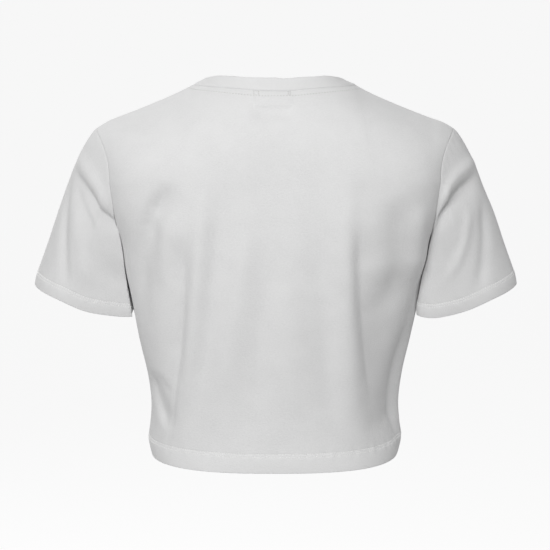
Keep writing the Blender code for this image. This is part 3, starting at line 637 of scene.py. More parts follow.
def panel_columns():
    """Places across a panel, closer together beside the side seam and armhole."""
    neck = np.linspace(0.0, NECK_SHARE, NECK_COLUMNS + 1)
    tacks = [abs(x) + step for x in LABEL_STITCH_PLACES for step in (-TACK_WIDTH, 0.0, TACK_WIDTH)]
    neck = np.unique(np.round(np.concatenate([neck, np.array(tacks) * NECK_SHARE / NECK_HALF_WIDTH]), 5))
    last_plain = 1 - (SEAM_STEPS[-1] + 0.002) / HALF_PANEL
    shoulder = np.linspace(NECK_SHARE, last_plain, SHOULDER_COLUMNS + 1)[1:]
    beside_seam = 1 - np.array(SEAM_STEPS[::-1]) / HALF_PANEL
    half = np.concatenate([neck, shoulder, beside_seam, [1.0]])
    return np.concatenate([-half[:0:-1], half])


def hem_steps():
    """Heights of the fine rows of a hem, above its edge."""
    return np.arange(0.0, HEM_ZONE, HEM_ROW)


def panel_rows(side):
    """Places up a panel, closer together at the hem, the neckline and the shoulder seam."""
    body_height = UNDERARM_Z - HEM_Z
    hem = hem_steps() / body_height
    trunk = np.linspace(HEM_ZONE / body_height, 1.0, BODY_ROWS)
    fine = np.linspace(1.0, 2.0, 400)
    edge = form_point(side, np.ones_like(fine), fine)
    scye = 1.0 + evenly(edge, SCYE_ROWS)[1:]
    last_plain = 3 - NECK_ZONE / YOKE_LENGTH
    yoke = np.linspace(2.0, last_plain, YOKE_ROWS)[1:]
    neck = np.linspace(last_plain, 3 - (SEAM_STEPS[-1] + 0.0005) / YOKE_LENGTH, NECK_ROWS)[1:]
    beside_seam = 3 - np.array(SEAM_STEPS[::-1]) / YOKE_LENGTH
    return np.concatenate([hem, trunk, scye, yoke, neck, beside_seam, [3.0]])


def form_line(side, across, up):
    """Points of the cut panel's plain form along a line."""
    return form_point(side, *panel_place(side, across, up))


def seam_lines(side):
    """The panel's neckline, and all its seams together, as finely divided lines."""
    across = np.linspace(-NECK_SHARE, NECK_SHARE, 700)
    neckline = form_line(side, across, np.full_like(across, 3.0))
    across = np.linspace(NECK_SHARE, 1.0, 260)
    shoulder = form_line(side, across, np.full_like(across, 3.0))
    share = evenly(form_point(side, np.ones(900), np.linspace(0.0, 3.0, 900)), 1000)
    edge = form_line(side, np.ones(1000), share * 3.0)
    other_way = np.array([-1.0, 1.0, 1.0])
    return neckline, np.vstack([neckline, shoulder, shoulder * other_way, edge, edge * other_way])


@functools.lru_cache(maxsize=None)
def panel_cloth(side):
    """The back or the front panel as fine cloth."""
    columns, rows = panel_columns(), panel_rows(side)
    across, up = np.meshgrid(columns, rows)
    place, height = panel_place(side, across, up)
    plain = form_point(side, place, height)
    out = panel_normal(side, place, height)
    neckline, seams = seam_lines(side)
    seam_distance = distance_to(plain, seams)
    neck_distance = distance_to(plain, neckline)
    length_up = path_length(plain, 0)
    length_across = path_length(plain, 1)
    middle = len(columns) // 2
    length_across = length_across - length_across[:, middle:middle + 1]
    hem_height = np.where(up < 1, up * (UNDERARM_Z - HEM_Z), 1.0)

    folds = BACK_FOLDS if side == BACK else FRONT_FOLDS
    creases = BACK_CREASES if side == BACK else FRONT_CREASES
    held = smooth_step(seam_distance / FOLD_HOLD)
    relief = fold_relief(folds, plain[..., 0], plain[..., 2]) * held
    relief += fold_relief(creases, plain[..., 0], plain[..., 2]) * smooth_step(seam_distance / CREASE_HOLD)
    relief += ripple(plain, SWELLS) * held
    relief += hem_relief(hem_height, length_across + side * 0.1, BODY_STITCH_ROWS, BODY_HEM)
    relief += seam_dip(np.where(hem_height < HEM_EDGE, 1.0, seam_distance))
    if side == BACK:
        relief += stitch_groove(neck_distance - NECK_STITCH_ROW)
        off_centre = np.abs(plain[..., 0] - LABEL_CENTRE)
        relief += (LABEL_RISE * smooth_step((LABEL_WIDTH / 2 + 0.0005 - off_centre) / LABEL_SIDE_RUN)
                   * smooth_step((LABEL_HEIGHT + 0.001 - neck_distance) / LABEL_FOOT_RUN)
                   * smooth_step(neck_distance / LABEL_TOP_RUN))
        for x in LABEL_STITCH_PLACES:
            relief -= (TACK_DEPTH * np.exp(-((plain[..., 0] - x) / TACK_WIDTH) ** 2)
                       * smooth_step((NECK_STITCH_ROW + TACK_RUN - neck_distance) / TACK_RUN))
    points = plain + out * relief[..., None]
    flat_place = np.stack([length_across, length_up], axis=-1) * 1000
    return Cloth(points, out, flat_place, hem_height)


def neck_stitch_line():
    """The row of stitches below the back neckline, from one shoulder seam to the other."""
    cloth = panel_cloth(BACK)
    neckline = seam_lines(BACK)[0]
    columns = np.where(np.abs(panel_columns()) < NECK_SHARE + 0.12)[0]
    rows = np.where(panel_rows(BACK) > 2.7)[0]
    part = np.ix_(rows, columns)
    points, out = cloth.points[part], cloth.out[part]
    distance = distance_to(points, neckline)
    line, line_out = [], []
    for column in range(points.shape[1]):
        far = np.where(distance[:, column] > NECK_STITCH_ROW)[0]
        if len(far) == 0 or far[-1] == len(rows) - 1:
            continue
        low, high = far[-1], far[-1] + 1
        share = ((distance[low, column] - NECK_STITCH_ROW)
                 / (distance[low, column] - distance[high, column]))
        line.append(points[low, column] * (1 - share) + points[high, column] * share)
        line_out.append(out[low, column])
    return np.array(line), np.array(line_out)


def label_stitch_lines():
    """The short upright rows of stitches that hold the label's ends, seen on the back."""
    cloth = panel_cloth(BACK)
    rows = np.where(panel_rows(BACK) > 3 - (NECK_STITCH_ROW + 0.0008) / YOKE_LENGTH)[0][:-2]
    lines = []
    for x in LABEL_STITCH_PLACES:
        at_x = cloth.points[rows[0], :, 0]
        column = int(np.argmin(np.abs(at_x - x)))
        low = column - 1 if at_x[column] > x else column
        share = (x - at_x[low]) / (at_x[low + 1] - at_x[low])
        points = cloth.points[rows, low] * (1 - share) + cloth.points[rows, low + 1] * share
        lines.append((points, cloth.out[rows, low]))
    return lines


# ---------------------------------------------------------------- sleeves
def armhole():
    """Armhole of the left side as a loop of points from the underarm up the front and down the back,
    with the direction out of the cloth, and degrees round it in radians from the shoulder tip."""
    fine = np.linspace(1.0, 3.0, 1600)
    halves = []
    for side in (FRONT, BACK):
        edge = form_point(side, np.ones_like(fine), fine)
        out = panel_normal(side, np.ones_like(fine), fine)
        length = path_length(edge, 0)
        half = length[-1]
        plain = np.linspace(SEAM_STEPS[-1] + 0.002, half, SLEEVE_HALF_COLUMNS)
        stations = np.concatenate([[0.0], SEAM_STEPS, plain])
        at = [np.interp(stations, length, values) for values in (*edge.T, *out.T)]
        halves.append((np.array(at[:3]).T, np.array(at[3:]).T, stations / half))
    (fore, fore_out, fore_share), (rear, rear_out, rear_share) = halves
    fore[0] = rear[0] = (fore[0] + rear[0]) / 2
    fore[-1] = (fore[-1] + rear[-1]) / 2
    loop = np.vstack([fore, rear[-2:0:-1]])
    out = unit(np.vstack([fore_out, rear_out[-2:0:-1]]))
    angles = np.concatenate([math.pi * (1 + fore_share), math.pi * (3 - rear_share[-2:0:-1])])
    return loop, out, angles


def round_sleeve(angles, column):
    """Blend one column of the four sleeve lines round the sleeve."""
    value = [np.array(getattr(line, column), dtype=float)
             for line in (SLEEVE_TOP, SLEEVE_REAR, SLEEVE_UNDER, SLEEVE_FORE)]
    top, rear, under, fore = (np.atleast_1d(item) for item in value)
    upright = np.where(np.cos(angles) > 0, 1.0, 0.0)[:, None]
    rearward = np.where(np.sin(angles) > 0, 1.0, 0.0)[:, None]
    ends = top * upright + under * (1 - upright)
    sides = rear * rearward + fore * (1 - rearward)
    share = (np.sin(angles) ** 2)[:, None]
    return ends * (1 - share) + sides * share


def sleeve_mouth(angles):
    """Ring of points at the sleeve's hem edge."""
    power = (SLEEVE_ROUNDNESS
             + (SLEEVE_INNER_SQUARENESS - SLEEVE_ROUNDNESS) * np.clip(-np.cos(angles), 0.0, 1.0) ** 0.5)
    reach = ((np.abs(np.cos(angles)) / SLEEVE_MOUTH_HALF_WIDTH) ** power
             + (np.abs(np.sin(angles)) / SLEEVE_MOUTH_HALF_DEPTH) ** power) ** (-1 / power)
    outward = np.array([math.cos(SLEEVE_MOUTH_TILT), 0.0, math.sin(SLEEVE_MOUTH_TILT)])
    rearward = np.array([0.0, math.cos(SLEEVE_MOUTH_LEAN), -math.sin(SLEEVE_MOUTH_LEAN)])
    upward = np.zeros_like(angles)
    for wave in MOUTH_WAVES:
        off_place = np.abs(np.degrees(angles) % 360 - wave.place) / wave.spread
        upward += wave.height * np.cos(np.minimum(off_place, 1.0) * math.pi / 2) ** 2
    return (np.array(SLEEVE_MOUTH) + (reach * np.cos(angles))[:, None] * outward
            + (reach * np.sin(angles))[:, None] * rearward + upward[:, None] * np.array([0.0, 0.0, 1.0]))


def beside_body(points, clearance, mirror, w):
    """Hold the sleeve's points off the folded side of the body, where the sleeve lies against it. The
    body's folds count more the further w, the share of the sleeve's length, is from its armhole."""
    z = np.clip(points[..., 2], HEM_Z, BLADES_Z)
    y = points[..., 1]
    nearest = np.zeros_like(y)
    for side, folds in ((BACK, BACK_FOLDS), (FRONT, FRONT_FOLDS)):
        edge = section_side(y, *section_at(side, z))
        relief = fold_relief(folds, mirror * edge, z) * smooth_step(np.abs(y) / FOLD_HOLD)
        edge = edge + np.maximum(relief, -TROUGH_FOLLOWED) * smooth_step(w * SLEEVE_LENGTH / FOLD_HOLD)
        nearest = np.where(y * side > 0, edge, nearest)
    nearest += clearance
    settle = SLEEVE_SETTLE * clearance / SLEEVE_CLEARANCE
    x = (points[..., 0] + nearest + np.sqrt((points[..., 0] - nearest) ** 2 + settle ** 2)) / 2
    held = points.copy()
    held[..., 0] = np.where(points[..., 2] < BLADES_Z, x, points[..., 0])
    return held


def tucked_in(points, angles, w, tuck):
    """Draw the sleeve's rear inner side in towards the body, by up to the length of the tuck."""
    off_place = np.abs(angles % (2 * math.pi) - TUCK_PLACE) / TUCK_SPREAD
    rear_inner = np.where(off_place < 1, np.cos(np.minimum(off_place, 1.0) * math.pi / 2) ** 2, 0.0)
    held_in = smooth_step(w / TUCK_RUN)
    held_in *= 1 - (1 - TUCK_AT_MOUTH) * smooth_step((w - 1 + TUCK_RUN) / TUCK_RUN)
    shift = tuck * rear_inner * held_in
    return points - shift[..., None] * np.array([1.0, 0.0, 0.0])


def sleeve_rings(w, side_name):
    """Points of the plain left sleeve at shares of its length, the direction out of it, and degrees
    round it in radians. Its rear inner side is tucked against the body by a length."""
    loop, out, angles = armhole()
    leave = unit(round_sleeve(angles, "leave"))
    arrive = unit(round_sleeve(angles, "arrive"))
    edge = unit(np.roll(loop, -1, axis=0) - np.roll(loop, 1, axis=0))
    clear = leave - edge * np.sum(leave * edge, axis=-1, keepdims=True)
    underside = (np.sin(angles / 2) ** UNDERARM_HOLD)[:, None]
    start = loop + SEAM_GAP * unit(unit(clear) + out * underside)
    mouth = sleeve_mouth(angles)
    first = start + leave * round_sleeve(angles, "leave_reach")
    last = mouth - arrive * round_sleeve(angles, "arrive_reach")
    w = w[..., None]
    points = (start * (1 - w) ** 3 + first * 3 * w * (1 - w) ** 2
              + last * 3 * w * w * (1 - w) + mouth * w ** 3)
    along = ((first - start) * 3 * (1 - w) ** 2 + (last - first) * 6 * w * (1 - w)
             + (mouth - last) * 3 * w * w)
    around = np.roll(points, -1, axis=1) - np.roll(points, 1, axis=1)
    tuck, mirror = (LEFT_TUCK, 1) if side_name == "left" else (RIGHT_TUCK, -1)
    points = tucked_in(points, angles, w[..., 0], tuck)
    clearance = SLEEVE_CLEARANCE * smooth_step(w[..., 0] / CLEARANCE_RUN)
    points = beside_body(points, clearance, mirror, w[..., 0])
    return points, unit(np.cross(along, around)), angles


@functools.lru_cache(maxsize=None)
def sleeve_cloth(side_name):
    """The left or right sleeve as fine cloth, in the left sleeve's place."""
    count = len(armhole()[0])
    fine = np.repeat(np.linspace(0.0, 1.0, 121)[:, None], count, axis=1)
    length = path_length(sleeve_rings(fine, side_name)[0], 0)
    whole = length[-1]
    start = np.concatenate([[0.0], SEAM_STEPS])
    first_plain = SEAM_STEPS[-1] + 0.002
    share = np.linspace(0.0, 1.0, SLEEVE_ROWS)
    stations = np.vstack([start[:, None] + 0 * whole,
                          first_plain + share[:, None] * (whole - HEM_ZONE - first_plain),
                          whole - hem_steps()[::-1, None]])
    w = np.stack([np.interp(stations[:, i], length[:, i], fine[:, 0]) for i in range(count)], axis=1)
    plain, out, angles = sleeve_rings(w, side_name)

    hem_height = whole - stations
    places = np.degrees(angles) % 360 + 0 * w
    girth_scale = (math.radians(1) * SLEEVE_GIRTH_RADIUS, SLEEVE_LENGTH)
    folds = LEFT_SLEEVE_FOLDS if side_name == "left" else RIGHT_SLEEVE_FOLDS
    creases = LEFT_SLEEVE_CREASES if side_name == "left" else RIGHT_SLEEVE_CREASES
    relief = np.zeros_like(w)
    for turn in (0, 360):
        place = (places - turn) * girth_scale[0]
        for group, hold in ((folds, SLEEVE_FOLD_HOLD), (creases, CREASE_HOLD)):
            relief += (fold_relief(group, place, w * girth_scale[1], girth_scale)
                       * smooth_step(stations / hold))
    opened_length = path_length(np.concatenate([plain, plain[:, :1]], axis=1), 1)
    round_length = opened_length[:, :-1]
    to_underarm_seam = np.minimum(round_length, opened_length[:, -1:] - round_length)
    relief += ripple(plain, SWELLS) * smooth_step(stations / FOLD_HOLD)
    relief += hem_relief(hem_height, round_length, SLEEVE_STITCH_ROWS, SLEEVE_HEM)
    ease = np.sin(round_length * (2 * math.pi / EASE_LENGTH))
    ease = ease * np.exp(-((stations - EASE_PLACE) / EASE_PLACE) ** 2)
    relief += EASE_HEIGHT * ease * smooth_step(np.cos(angles) * 0.5 + 0.5)
    relief += seam_dip(np.where(hem_height < HEM_EDGE, 1.0, np.minimum(stations, to_underarm_seam)))
    points = plain + out * relief[..., None]
    flat_place = np.stack([opened_length, -np.column_stack([stations, stations[:, 0]])], axis=-1) * 1000
    return Cloth(points, out, flat_place, hem_height)


# ---------------------------------------------------------------- neckband
def neck_loop():
    """Neckline as a loop of evenly spaced points, across the back and then the front, and the
    direction out of the cloth."""
    loop, out = [], []
    for side, count in ((BACK, BAND_BACK_COLUMNS), (FRONT, BAND_FRONT_COLUMNS)):
        fine = np.linspace(-NECK_SHARE, NECK_SHARE, 900)
        top = np.full_like(fine, 3.0)
        share = evenly(form_line(side, fine, top), count)
        across = (2 * share - 1) * NECK_SHARE
        place = panel_place(side, across, np.full_like(across, 3.0))
        points, way = form_point(side, *place), panel_normal(side, *place)
        loop.append(points if side == BACK else points[::-1])
        out.append(way if side == BACK else way[::-1])
    (rear, fore), (rear_out, fore_out) = loop, out
    loop = np.vstack([(rear[0] + fore[-1]) / 2, rear[1:-1], (rear[-1] + fore[0]) / 2, fore[1:-1]])
    out = np.vstack([rear_out[0] + fore_out[-1], rear_out[1:-1], rear_out[-1] + fore_out[0],
                     fore_out[1:-1]])
    return loop, unit(out)


def band_directions(loop):
    """Direction up the neckband at each point of the neckline."""
    centre_y = (loop[:, 1].max() + loop[:, 1].min()) / 2
    half_depth = (loop[:, 1].max() - loop[:, 1].min()) / 2
    place = np.stack([loop[:, 0] / NECK_HALF_WIDTH, (loop[:, 1] - centre_y) / half_depth], axis=-1)
    place = unit(place)
    ends = np.where(place[:, 1] > 0, BAND_LEAN_BACK, BAND_LEAN_FRONT)
    lean = ends + (BAND_LEAN_SIDE - ends) * np.abs(place[:, 0]) ** BAND_LEAN_ROUNDNESS
    lean += BAND_LEAN_RIGHT * np.clip(-place[:, 0], 0.0, 1.0) ** 2
    inward = -place * np.sin(lean)[:, None]
    return np.column_stack([inward, np.cos(lean)])


def band_section():
    """The folded band's section as (height, distance out): up its outside, over the fold and down its
    inside, then up and down between its two layers."""
    radius = BAND_WALL / 2
    top = BAND_HEIGHT - radius
    middle = BAND_BULGE - radius
    outside = [(0.0, -0.0003), (0.0004, 0.0), (0.0010, 0.0003), (0.0020, BAND_BULGE + 0.0003)]
    outside += [(height, BAND_BULGE + 0.0003 * (1 - smooth_step(height / top)))
                for height in np.linspace(0.0032, top, 9)]
    fold = [(top + radius * math.sin(angle), middle + radius * math.cos(angle))
            for angle in np.linspace(0.0, math.pi, 9)[1:-1]]
    inside = [(height, BAND_BULGE - BAND_WALL) for height in np.linspace(top, 0.0010, 8)]
    seam = [(0.0, BAND_BULGE - BAND_WALL + 0.0005), (0.0, middle - BAND_SLIT / 2)]
    slit_up = [(height, middle - BAND_SLIT / 2) for height in np.linspace(0.0010, top, 5)]
    slit_down = [(height, middle + BAND_SLIT / 2) for height in np.linspace(top, 0.0010, 5)]
    return np.array(outside + fold + inside + seam + slit_up + slit_down + [(0.0, middle + BAND_SLIT / 2)])


@functools.lru_cache(maxsize=None)
def band_cloth():
    """Points of the folded rib band, a closed section for each point of the neckline."""
    loop, seam_out = neck_loop()
    rise = band_directions(loop)
    around = np.roll(loop, -1, axis=0) - np.roll(loop, 1, axis=0)
    band_out = unit(np.cross(rise, around))
    section = band_section()
    rows = []
    for height, distance in section:
        turned = smooth_step(height / (BAND_TURN_SHARE * BAND_HEIGHT))
        out = unit(seam_out + (band_out - seam_out) * turned)
        wave = ripple(loop, BAND_WAVES) * smooth_step(height / BAND_HEIGHT)
        rows.append(loop + rise * (SEAM_GAP + height + wave)[..., None] + out * distance)
    return np.array(rows)


def hem_stitch_lines(heights):
    """The rows of stitches round the body hem, across each panel."""
    lines = []
    for side in (BACK, FRONT):
        cloth = panel_cloth(side)
        for height in heights:
            row = int(np.argmin(np.abs(cloth.hem_height[:, 0] - height)))
            lines.append((cloth.points[row], cloth.out[row]))
    return lines


def sleeve_stitch_lines(side_name, mirror):
    """The rows of stitches round a sleeve hem."""
    cloth = sleeve_cloth(side_name)
    flip = np.array([mirror, 1.0, 1.0])
    lines = []
    for height in SLEEVE_STITCH_ROWS:
        row = int(np.argmin(np.abs(cloth.hem_height[:, 0] - height)))
        points = np.vstack([cloth.points[row], cloth.points[row, :1]])
        out = np.vstack([cloth.out[row], cloth.out[row, :1]])
        lines.append((points * flip, out * flip))
    return lines


def label_cloth(cloth_thickness):
    """The label's right side, which faces the back panel, made from that panel's own points."""
    cloth = panel_cloth(BACK)
    columns = np.linspace(LABEL_CENTRE - LABEL_WIDTH / 2, LABEL_CENTRE + LABEL_WIDTH / 2, LABEL_COLUMNS)
    rows = np.where(panel_rows(BACK) > 3 - (LABEL_HEIGHT + 0.001) / YOKE_LENGTH)[0][:-1]
    points, out = [], []
    for row in rows:
        x = cloth.points[row, :, 0]
        points.append(np.stack([np.interp(columns, x, cloth.points[row, :, axis]) for axis in range(3)], -1))
        out.append(np.stack([np.interp(columns, x, cloth.out[row, :, axis]) for axis in range(3)], -1))
    points, out = np.array(points), np.array(out)
    points = points - out * (cloth_thickness + LABEL_GAP)
    length_up = path_length(points, 0)
    length_across = path_length(points, 1)
    place = np.stack([length_across, length_up], axis=-1) * 1000
    return Cloth(points, out, place, np.ones(points.shape[:2]))


# ---------------------------------------------------------------- making pieces
def quads(grid):
    """Faces between the corners of a grid of numbers."""
    return np.stack([grid[:-1, :-1], grid[:-1, 1:], grid[1:, 1:], grid[1:, :-1]], axis=-1).reshape(-1, 4)


def sheet_faces(outer, inner, ring):
    """Faces of a sheet of cloth: its right side, its wrong side and its cut or folded edges."""
    faces = [quads(outer), quads(inner)[:, ::-1],
             quads(np.stack([inner[0], outer[0]])), quads(np.stack([outer[-1], inner[-1]]))]
    if not ring:
        faces.append(quads(np.stack([outer[:, 0], inner[:, 0]])))
        faces.append(quads(np.stack([inner[:, -1], outer[:, -1]])))
    return np.vstack(faces)


def make_smooth(name, points, faces, material):
    """Make a smooth piece from lists of points and faces."""
    mesh = bpy.data.meshes.new(name)
    mesh.from_pydata(points, [], faces)
    mesh.shade_smooth()
    mesh.materials.append(material)
    piece = bpy.data.objects.new(name, mesh)
    bpy.context.scene.collection.objects.link(piece)
    return piece


def make_piece(name, points, faces, places, place_faces, material):
    """Make a smooth piece whose UV map "Cloth" holds each point's place in the flat cloth, in mm."""
    piece = make_smooth(name, points.tolist(), faces.tolist(), material)
    flat = piece.data.uv_layers.new(name="Cloth")
    flat.data.foreach_set("uv", places[place_faces.ravel()].ravel())
    return piece


def mark(piece, name, values):
    """Store a number for each point of a piece, for its material to read."""
    attribute = piece.data.attributes.new(name, "FLOAT", "POINT")
    attribute.data.foreach_set("value", values)


def make_sheet(name, cloth, thickness, ring, turned, mirror, material):
    """Make a closed thin sheet from fine cloth."""
    rows, columns = cloth.points.shape[:2]
    flip = np.array([mirror, 1.0, 1.0])
    inner_points = cloth.points - cloth.out * thickness[..., None]
    points = np.vstack([(cloth.points * flip).reshape(-1, 3), (inner_points * flip).reshape(-1, 3)])
    outer = np.arange(rows * columns).reshape(rows, columns)
    if ring:
        outer = np.column_stack([outer, outer[:, 0]])
    faces = sheet_faces(outer, outer + rows * columns, ring)
    flat = cloth.place.reshape(-1, 2)
    place = np.arange(len(flat)).reshape(cloth.place.shape[:2])
    place_faces = sheet_faces(place, place + len(flat), ring)
    if turned:
        faces, place_faces = faces[:, ::-1], place_faces[:, ::-1]
    return make_piece(name, points, faces, np.vstack([flat, flat]), place_faces, material)


def along_line(points, pitch):
    """Places one pitch apart along a line of points, as which leg of it and the share of that leg."""
    length = path_length(points, 0)
    count = max(int(round(length[-1] / pitch)), 1)
    stations = (np.arange(count) + 0.5) * length[-1] / count
    leg = np.clip(np.searchsorted(length, stations) - 1, 0, len(points) - 2)
    share = (stations - length[leg]) / (length[leg + 1] - length[leg])
    return leg, share[:, None]


def sew(pattern, lines, pitch, sink):
    """Copies of one stitch along lines of cloth points, as one array of corners and one of faces."""
    corners, faces = pattern
    all_corners, all_faces, count = [], [], 0
    for points, out in lines:
        leg, share = along_line(points, pitch)
        here = points[leg] * (1 - share) + points[leg + 1] * share
        ahead = unit(points[leg + 1] - points[leg])
        up = out[leg] * (1 - share) + out[leg + 1] * share
        up = unit(up - ahead * np.sum(up * ahead, axis=-1, keepdims=True))
        beside = np.cross(up, ahead)
        axes = np.stack([ahead, beside, up], axis=1)
        placed = np.einsum("ki,nij->nkj", corners, axes) + (here - up * sink)[:, None]
        all_corners.append(placed.reshape(-1, 3))
        numbers = count + np.arange(len(here)) * len(corners)
        all_faces += [[start + i for i in face] for start in numbers for face in faces]
        count += len(here) * len(corners)
    return np.vstack(all_corners), all_faces


# ---------------------------------------------------------------- materials
def colour(code):
    """Turn an sRGB hex colour into linear red, green, blue and alpha."""
    parts = [int(code[i:i + 2], 16) / 255 for i in (0, 2, 4)]
    return (*(part / 12.92 if part <= 0.04045 else ((part + 0.055) / 1.055) ** 2.4 for part in parts), 1.0)


def add_node(tree, kind, settings=None, inputs=None):
    """Add a node, set its options, and set or link its inputs."""
    node = tree.nodes.new(kind)
    for name, value in (settings or {}).items():
        setattr(node, name, value)
    for name, value in (inputs or {}).items():
        if isinstance(value, bpy.types.NodeSocket):
            tree.links.new(value, node.inputs[name])
        else:
            node.inputs[name].default_value = value
    return node


def new_material(name):
    """A material with an empty tree of nodes."""
    material = bpy.data.materials.new(name)
    material.use_nodes = True
    material.node_tree.nodes.clear()
    return material


def finish_material(tree, inputs):
    """Close a tree with its shader and output."""
    shader = add_node(tree, "ShaderNodeBsdfPrincipled", inputs=inputs)
    add_node(tree, "ShaderNodeOutputMaterial", inputs={"Surface": shader.outputs["BSDF"]})


def flat_place(tree):
    """A point's place in the flat cloth, in mm."""
    return add_node(tree, "ShaderNodeUVMap", {"uv_map": "Cloth"}).outputs["UV"]


def object_place(tree):
    """A point's place on the object."""
    return add_node(tree, "ShaderNodeTexCoord").outputs["Object"]


def bands(tree, place, way, pitch, wobble):
    """Even bands across a place, one each pitch, in the units of the place."""
    return add_node(tree, "ShaderNodeTexWave", {"bands_direction": way},
                    {"Vector": place, "Scale": WAVE_REPEAT / pitch, "Distortion": wobble, "Detail": 1.0,
                     "Detail Scale": 1.5}).outputs["Fac"]


def noise(tree, place, scale, detail, roughness=0.5):
    """Soft uneven clouds over a place. A pair of scales stretches them along the two ways of the cloth."""
    if isinstance(scale, tuple):
        place = add_node(tree, "ShaderNodeMapping",
                         inputs={"Vector": place, "Scale": (*scale, 1.0)}).outputs["Vector"]
        scale = 1.0
    return add_node(tree, "ShaderNodeTexNoise", inputs={"Vector": place, "Scale": scale, "Detail": detail,
                                                        "Roughness": roughness}).outputs["Fac"]


def multiply_add(tree, *values):
    """Multiply the first value by the second, and add the third."""
    return add_node(tree, "ShaderNodeMath", {"operation": "MULTIPLY_ADD"},
                    dict(enumerate(values))).outputs[0]


def map_range(tree, value, **limits):
    """Stretch a value between limits, such as From_Min."""
    inputs = {name.replace("_", " "): limit for name, limit in limits.items()}
    return add_node(tree, "ShaderNodeMapRange", inputs={"Value": value, **inputs}).outputs["Result"]


def bump(tree, height, strength, distance, **normal):
    """Raise the surface by a height, on top of another bump where its Normal is given."""
    return add_node(tree, "ShaderNodeBump", inputs={"Height": height, "Strength": strength,
                                                    "Distance": distance, **normal}).outputs["Normal"]


def tinted(tone, share, limit=1.0):
    """A colour made darker or lighter by a share."""
    return (*(min(part * share, limit) for part in tone[:3]), 1.0)


def blend(tree, share, low, high):
    """Mix two colours by a share."""
    mix = add_node(tree, "ShaderNodeMix", {"data_type": "RGBA"})
    tree.links.new(share, mix.inputs["Factor"])
    for socket, value in ((mix.inputs[6], low), (mix.inputs[7], high)):
        if isinstance(value, bpy.types.NodeSocket):
            tree.links.new(value, socket)
        else:
            socket.default_value = value
    return mix.outputs[2]


def jersey_material(cloth):
    """Combed-cotton single jersey, bleached and soft: matt, with a fine fuzz that lightens edges."""
    material = new_material("combed cotton single jersey")
    tree = material.node_tree
    flat, place = flat_place(tree), object_place(tree)
    # 28-gauge knitting has a wale about each 0.85 mm and a course about each 0.7 mm.
    wales = bands(tree, flat, "X", cloth.wale_pitch * 1000, 0.5)
    courses = bands(tree, flat, "Y", cloth.wale_pitch * 1000 * 0.8, 0.8)
    knit = multiply_add(tree, wales, courses, wales)
    # Uneven yarn shows as faint streaks along the courses, 2 mm deep and about 18 mm long.
    streaks = noise(tree, flat, (0.055, 0.5), 3.0)
    # Soft mottle, 25 mm across, where the cloth is thinner or has been handled.
    mottle = noise(tree, place, 40.0, 4.0, 0.6)
    # Loose fibre ends, drawn 1.5 mm apart so that they still show from a step away.
    fuzz = noise(tree, place, 650.0, 3.0, 0.7)
    # Slubs of the yarn, drawn 3 mm long and 1.4 mm deep so that they show at this distance. The cloth
    # is thinner and a little darker beside them.
    grain = map_range(tree, noise(tree, flat, (0.35, 0.72), 3.0, 0.7), From_Min=0.3, From_Max=0.7)
    shade = blend(tree, streaks, tinted(cloth.jersey_colour, 0.965), cloth.jersey_colour)
    shade = blend(tree, grain, tinted(cloth.jersey_colour, 0.87), shade)
    shade = blend(tree, mottle, shade, cloth.jersey_colour)
    # The doubled hem lets less light through.
    doubled = add_node(tree, "ShaderNodeAttribute", {"attribute_name": "doubled"}).outputs["Fac"]
    shade = blend(tree, doubled, shade, tinted(cloth.jersey_colour, 1.01, 0.95))
    loops = bump(tree, knit, 0.35, 0.00012)
    fibres = bump(tree, fuzz, 0.30, 0.00030, Normal=loops)
    uneven = bump(tree, grain, 0.5, 0.00030, Normal=fibres)
    finish_material(tree, {**COTTON, "Base Color": shade, "Normal": uneven,
                           "Roughness": map_range(tree, fuzz, To_Min=0.86, To_Max=0.97)})
    return material


def rib_material(cloth):
    """Cotton 1x1 rib, knitted tighter than the jersey: upright ribs that shade each other."""
    material = new_material("cotton one-by-one rib")
    tree = material.node_tree
    flat, place = flat_place(tree), object_place(tree)
    # A rib and a gap each 1.4 mm on the band, stretched a little round the neck.
    ribs = bands(tree, flat, "X", cloth.rib_pitch * 1000, 0.25)
    courses = bands(tree, flat, "Y", 0.7, 0.6)
    knit = multiply_add(tree, courses, 0.25, ribs)
    shade = blend(tree, noise(tree, place, 55.0, 3.0), tinted(cloth.rib_colour, 0.96), cloth.rib_colour)
    # Painted shade: the band is coloured darker in the gaps between the ribs, where the ribs shade them.
    shade = blend(tree, ribs, tinted(cloth.rib_colour, 0.93), shade)
    finish_material(tree, {**COTTON, "Base Color": shade, "Roughness": 0.93,
                           "Normal": bump(tree, knit, 0.5, 0.00025)})
    return material


def thread_material(name, thread_colour):
    """Spun polyester sewing thread: slightly glossier than the cloth, with a visible twist."""
    material = new_material(name)
    tree = material.node_tree
    # Two plies twisted together, a turn each 0.6 mm. The grooves between them are coloured darker as painted
    # shade.
    twist = add_node(tree, "ShaderNodeTexWave", {"bands_direction": "DIAGONAL"},
                     {"Vector": object_place(tree), "Scale": WAVE_REPEAT / 0.0006,
                      "Distortion": 1.0}).outputs["Fac"]
    shade = blend(tree, twist, tinted(thread_colour, 0.94), thread_colour)
    finish_material(tree, {"Base Color": shade, "Roughness": 0.62, "IOR": 1.53, "Specular IOR Level": 0.35,
                           "Sheen Weight": 0.15, "Normal": bump(tree, twist, 0.4, 0.00008)})
    return material


def tape_material():
    """Woven polyester satin tape, blank: a close weave with a soft gloss along its floats."""
    material = new_material("woven satin tape")
    tree = material.node_tree
    flat = flat_place(tree)
    # Weft each 0.5 mm and warp each 0.35 mm. The tape is coloured darker in bands between the weft picks as
    # painted shade.
    weft = bands(tree, flat, "Y", 0.5, 0.2)
    warp = bands(tree, flat, "X", 0.35, 0.1)
    shade = blend(tree, weft, colour("E4E4E2"), colour("EFEFEE"))
    weave = bump(tree, multiply_add(tree, warp, 0.4, weft), 0.3, 0.00008)
    finish_material(tree, {"Base Color": shade, "Roughness": 0.42, "IOR": 1.53, "Sheen Weight": 0.1,
                           "Normal": weave})
    return material


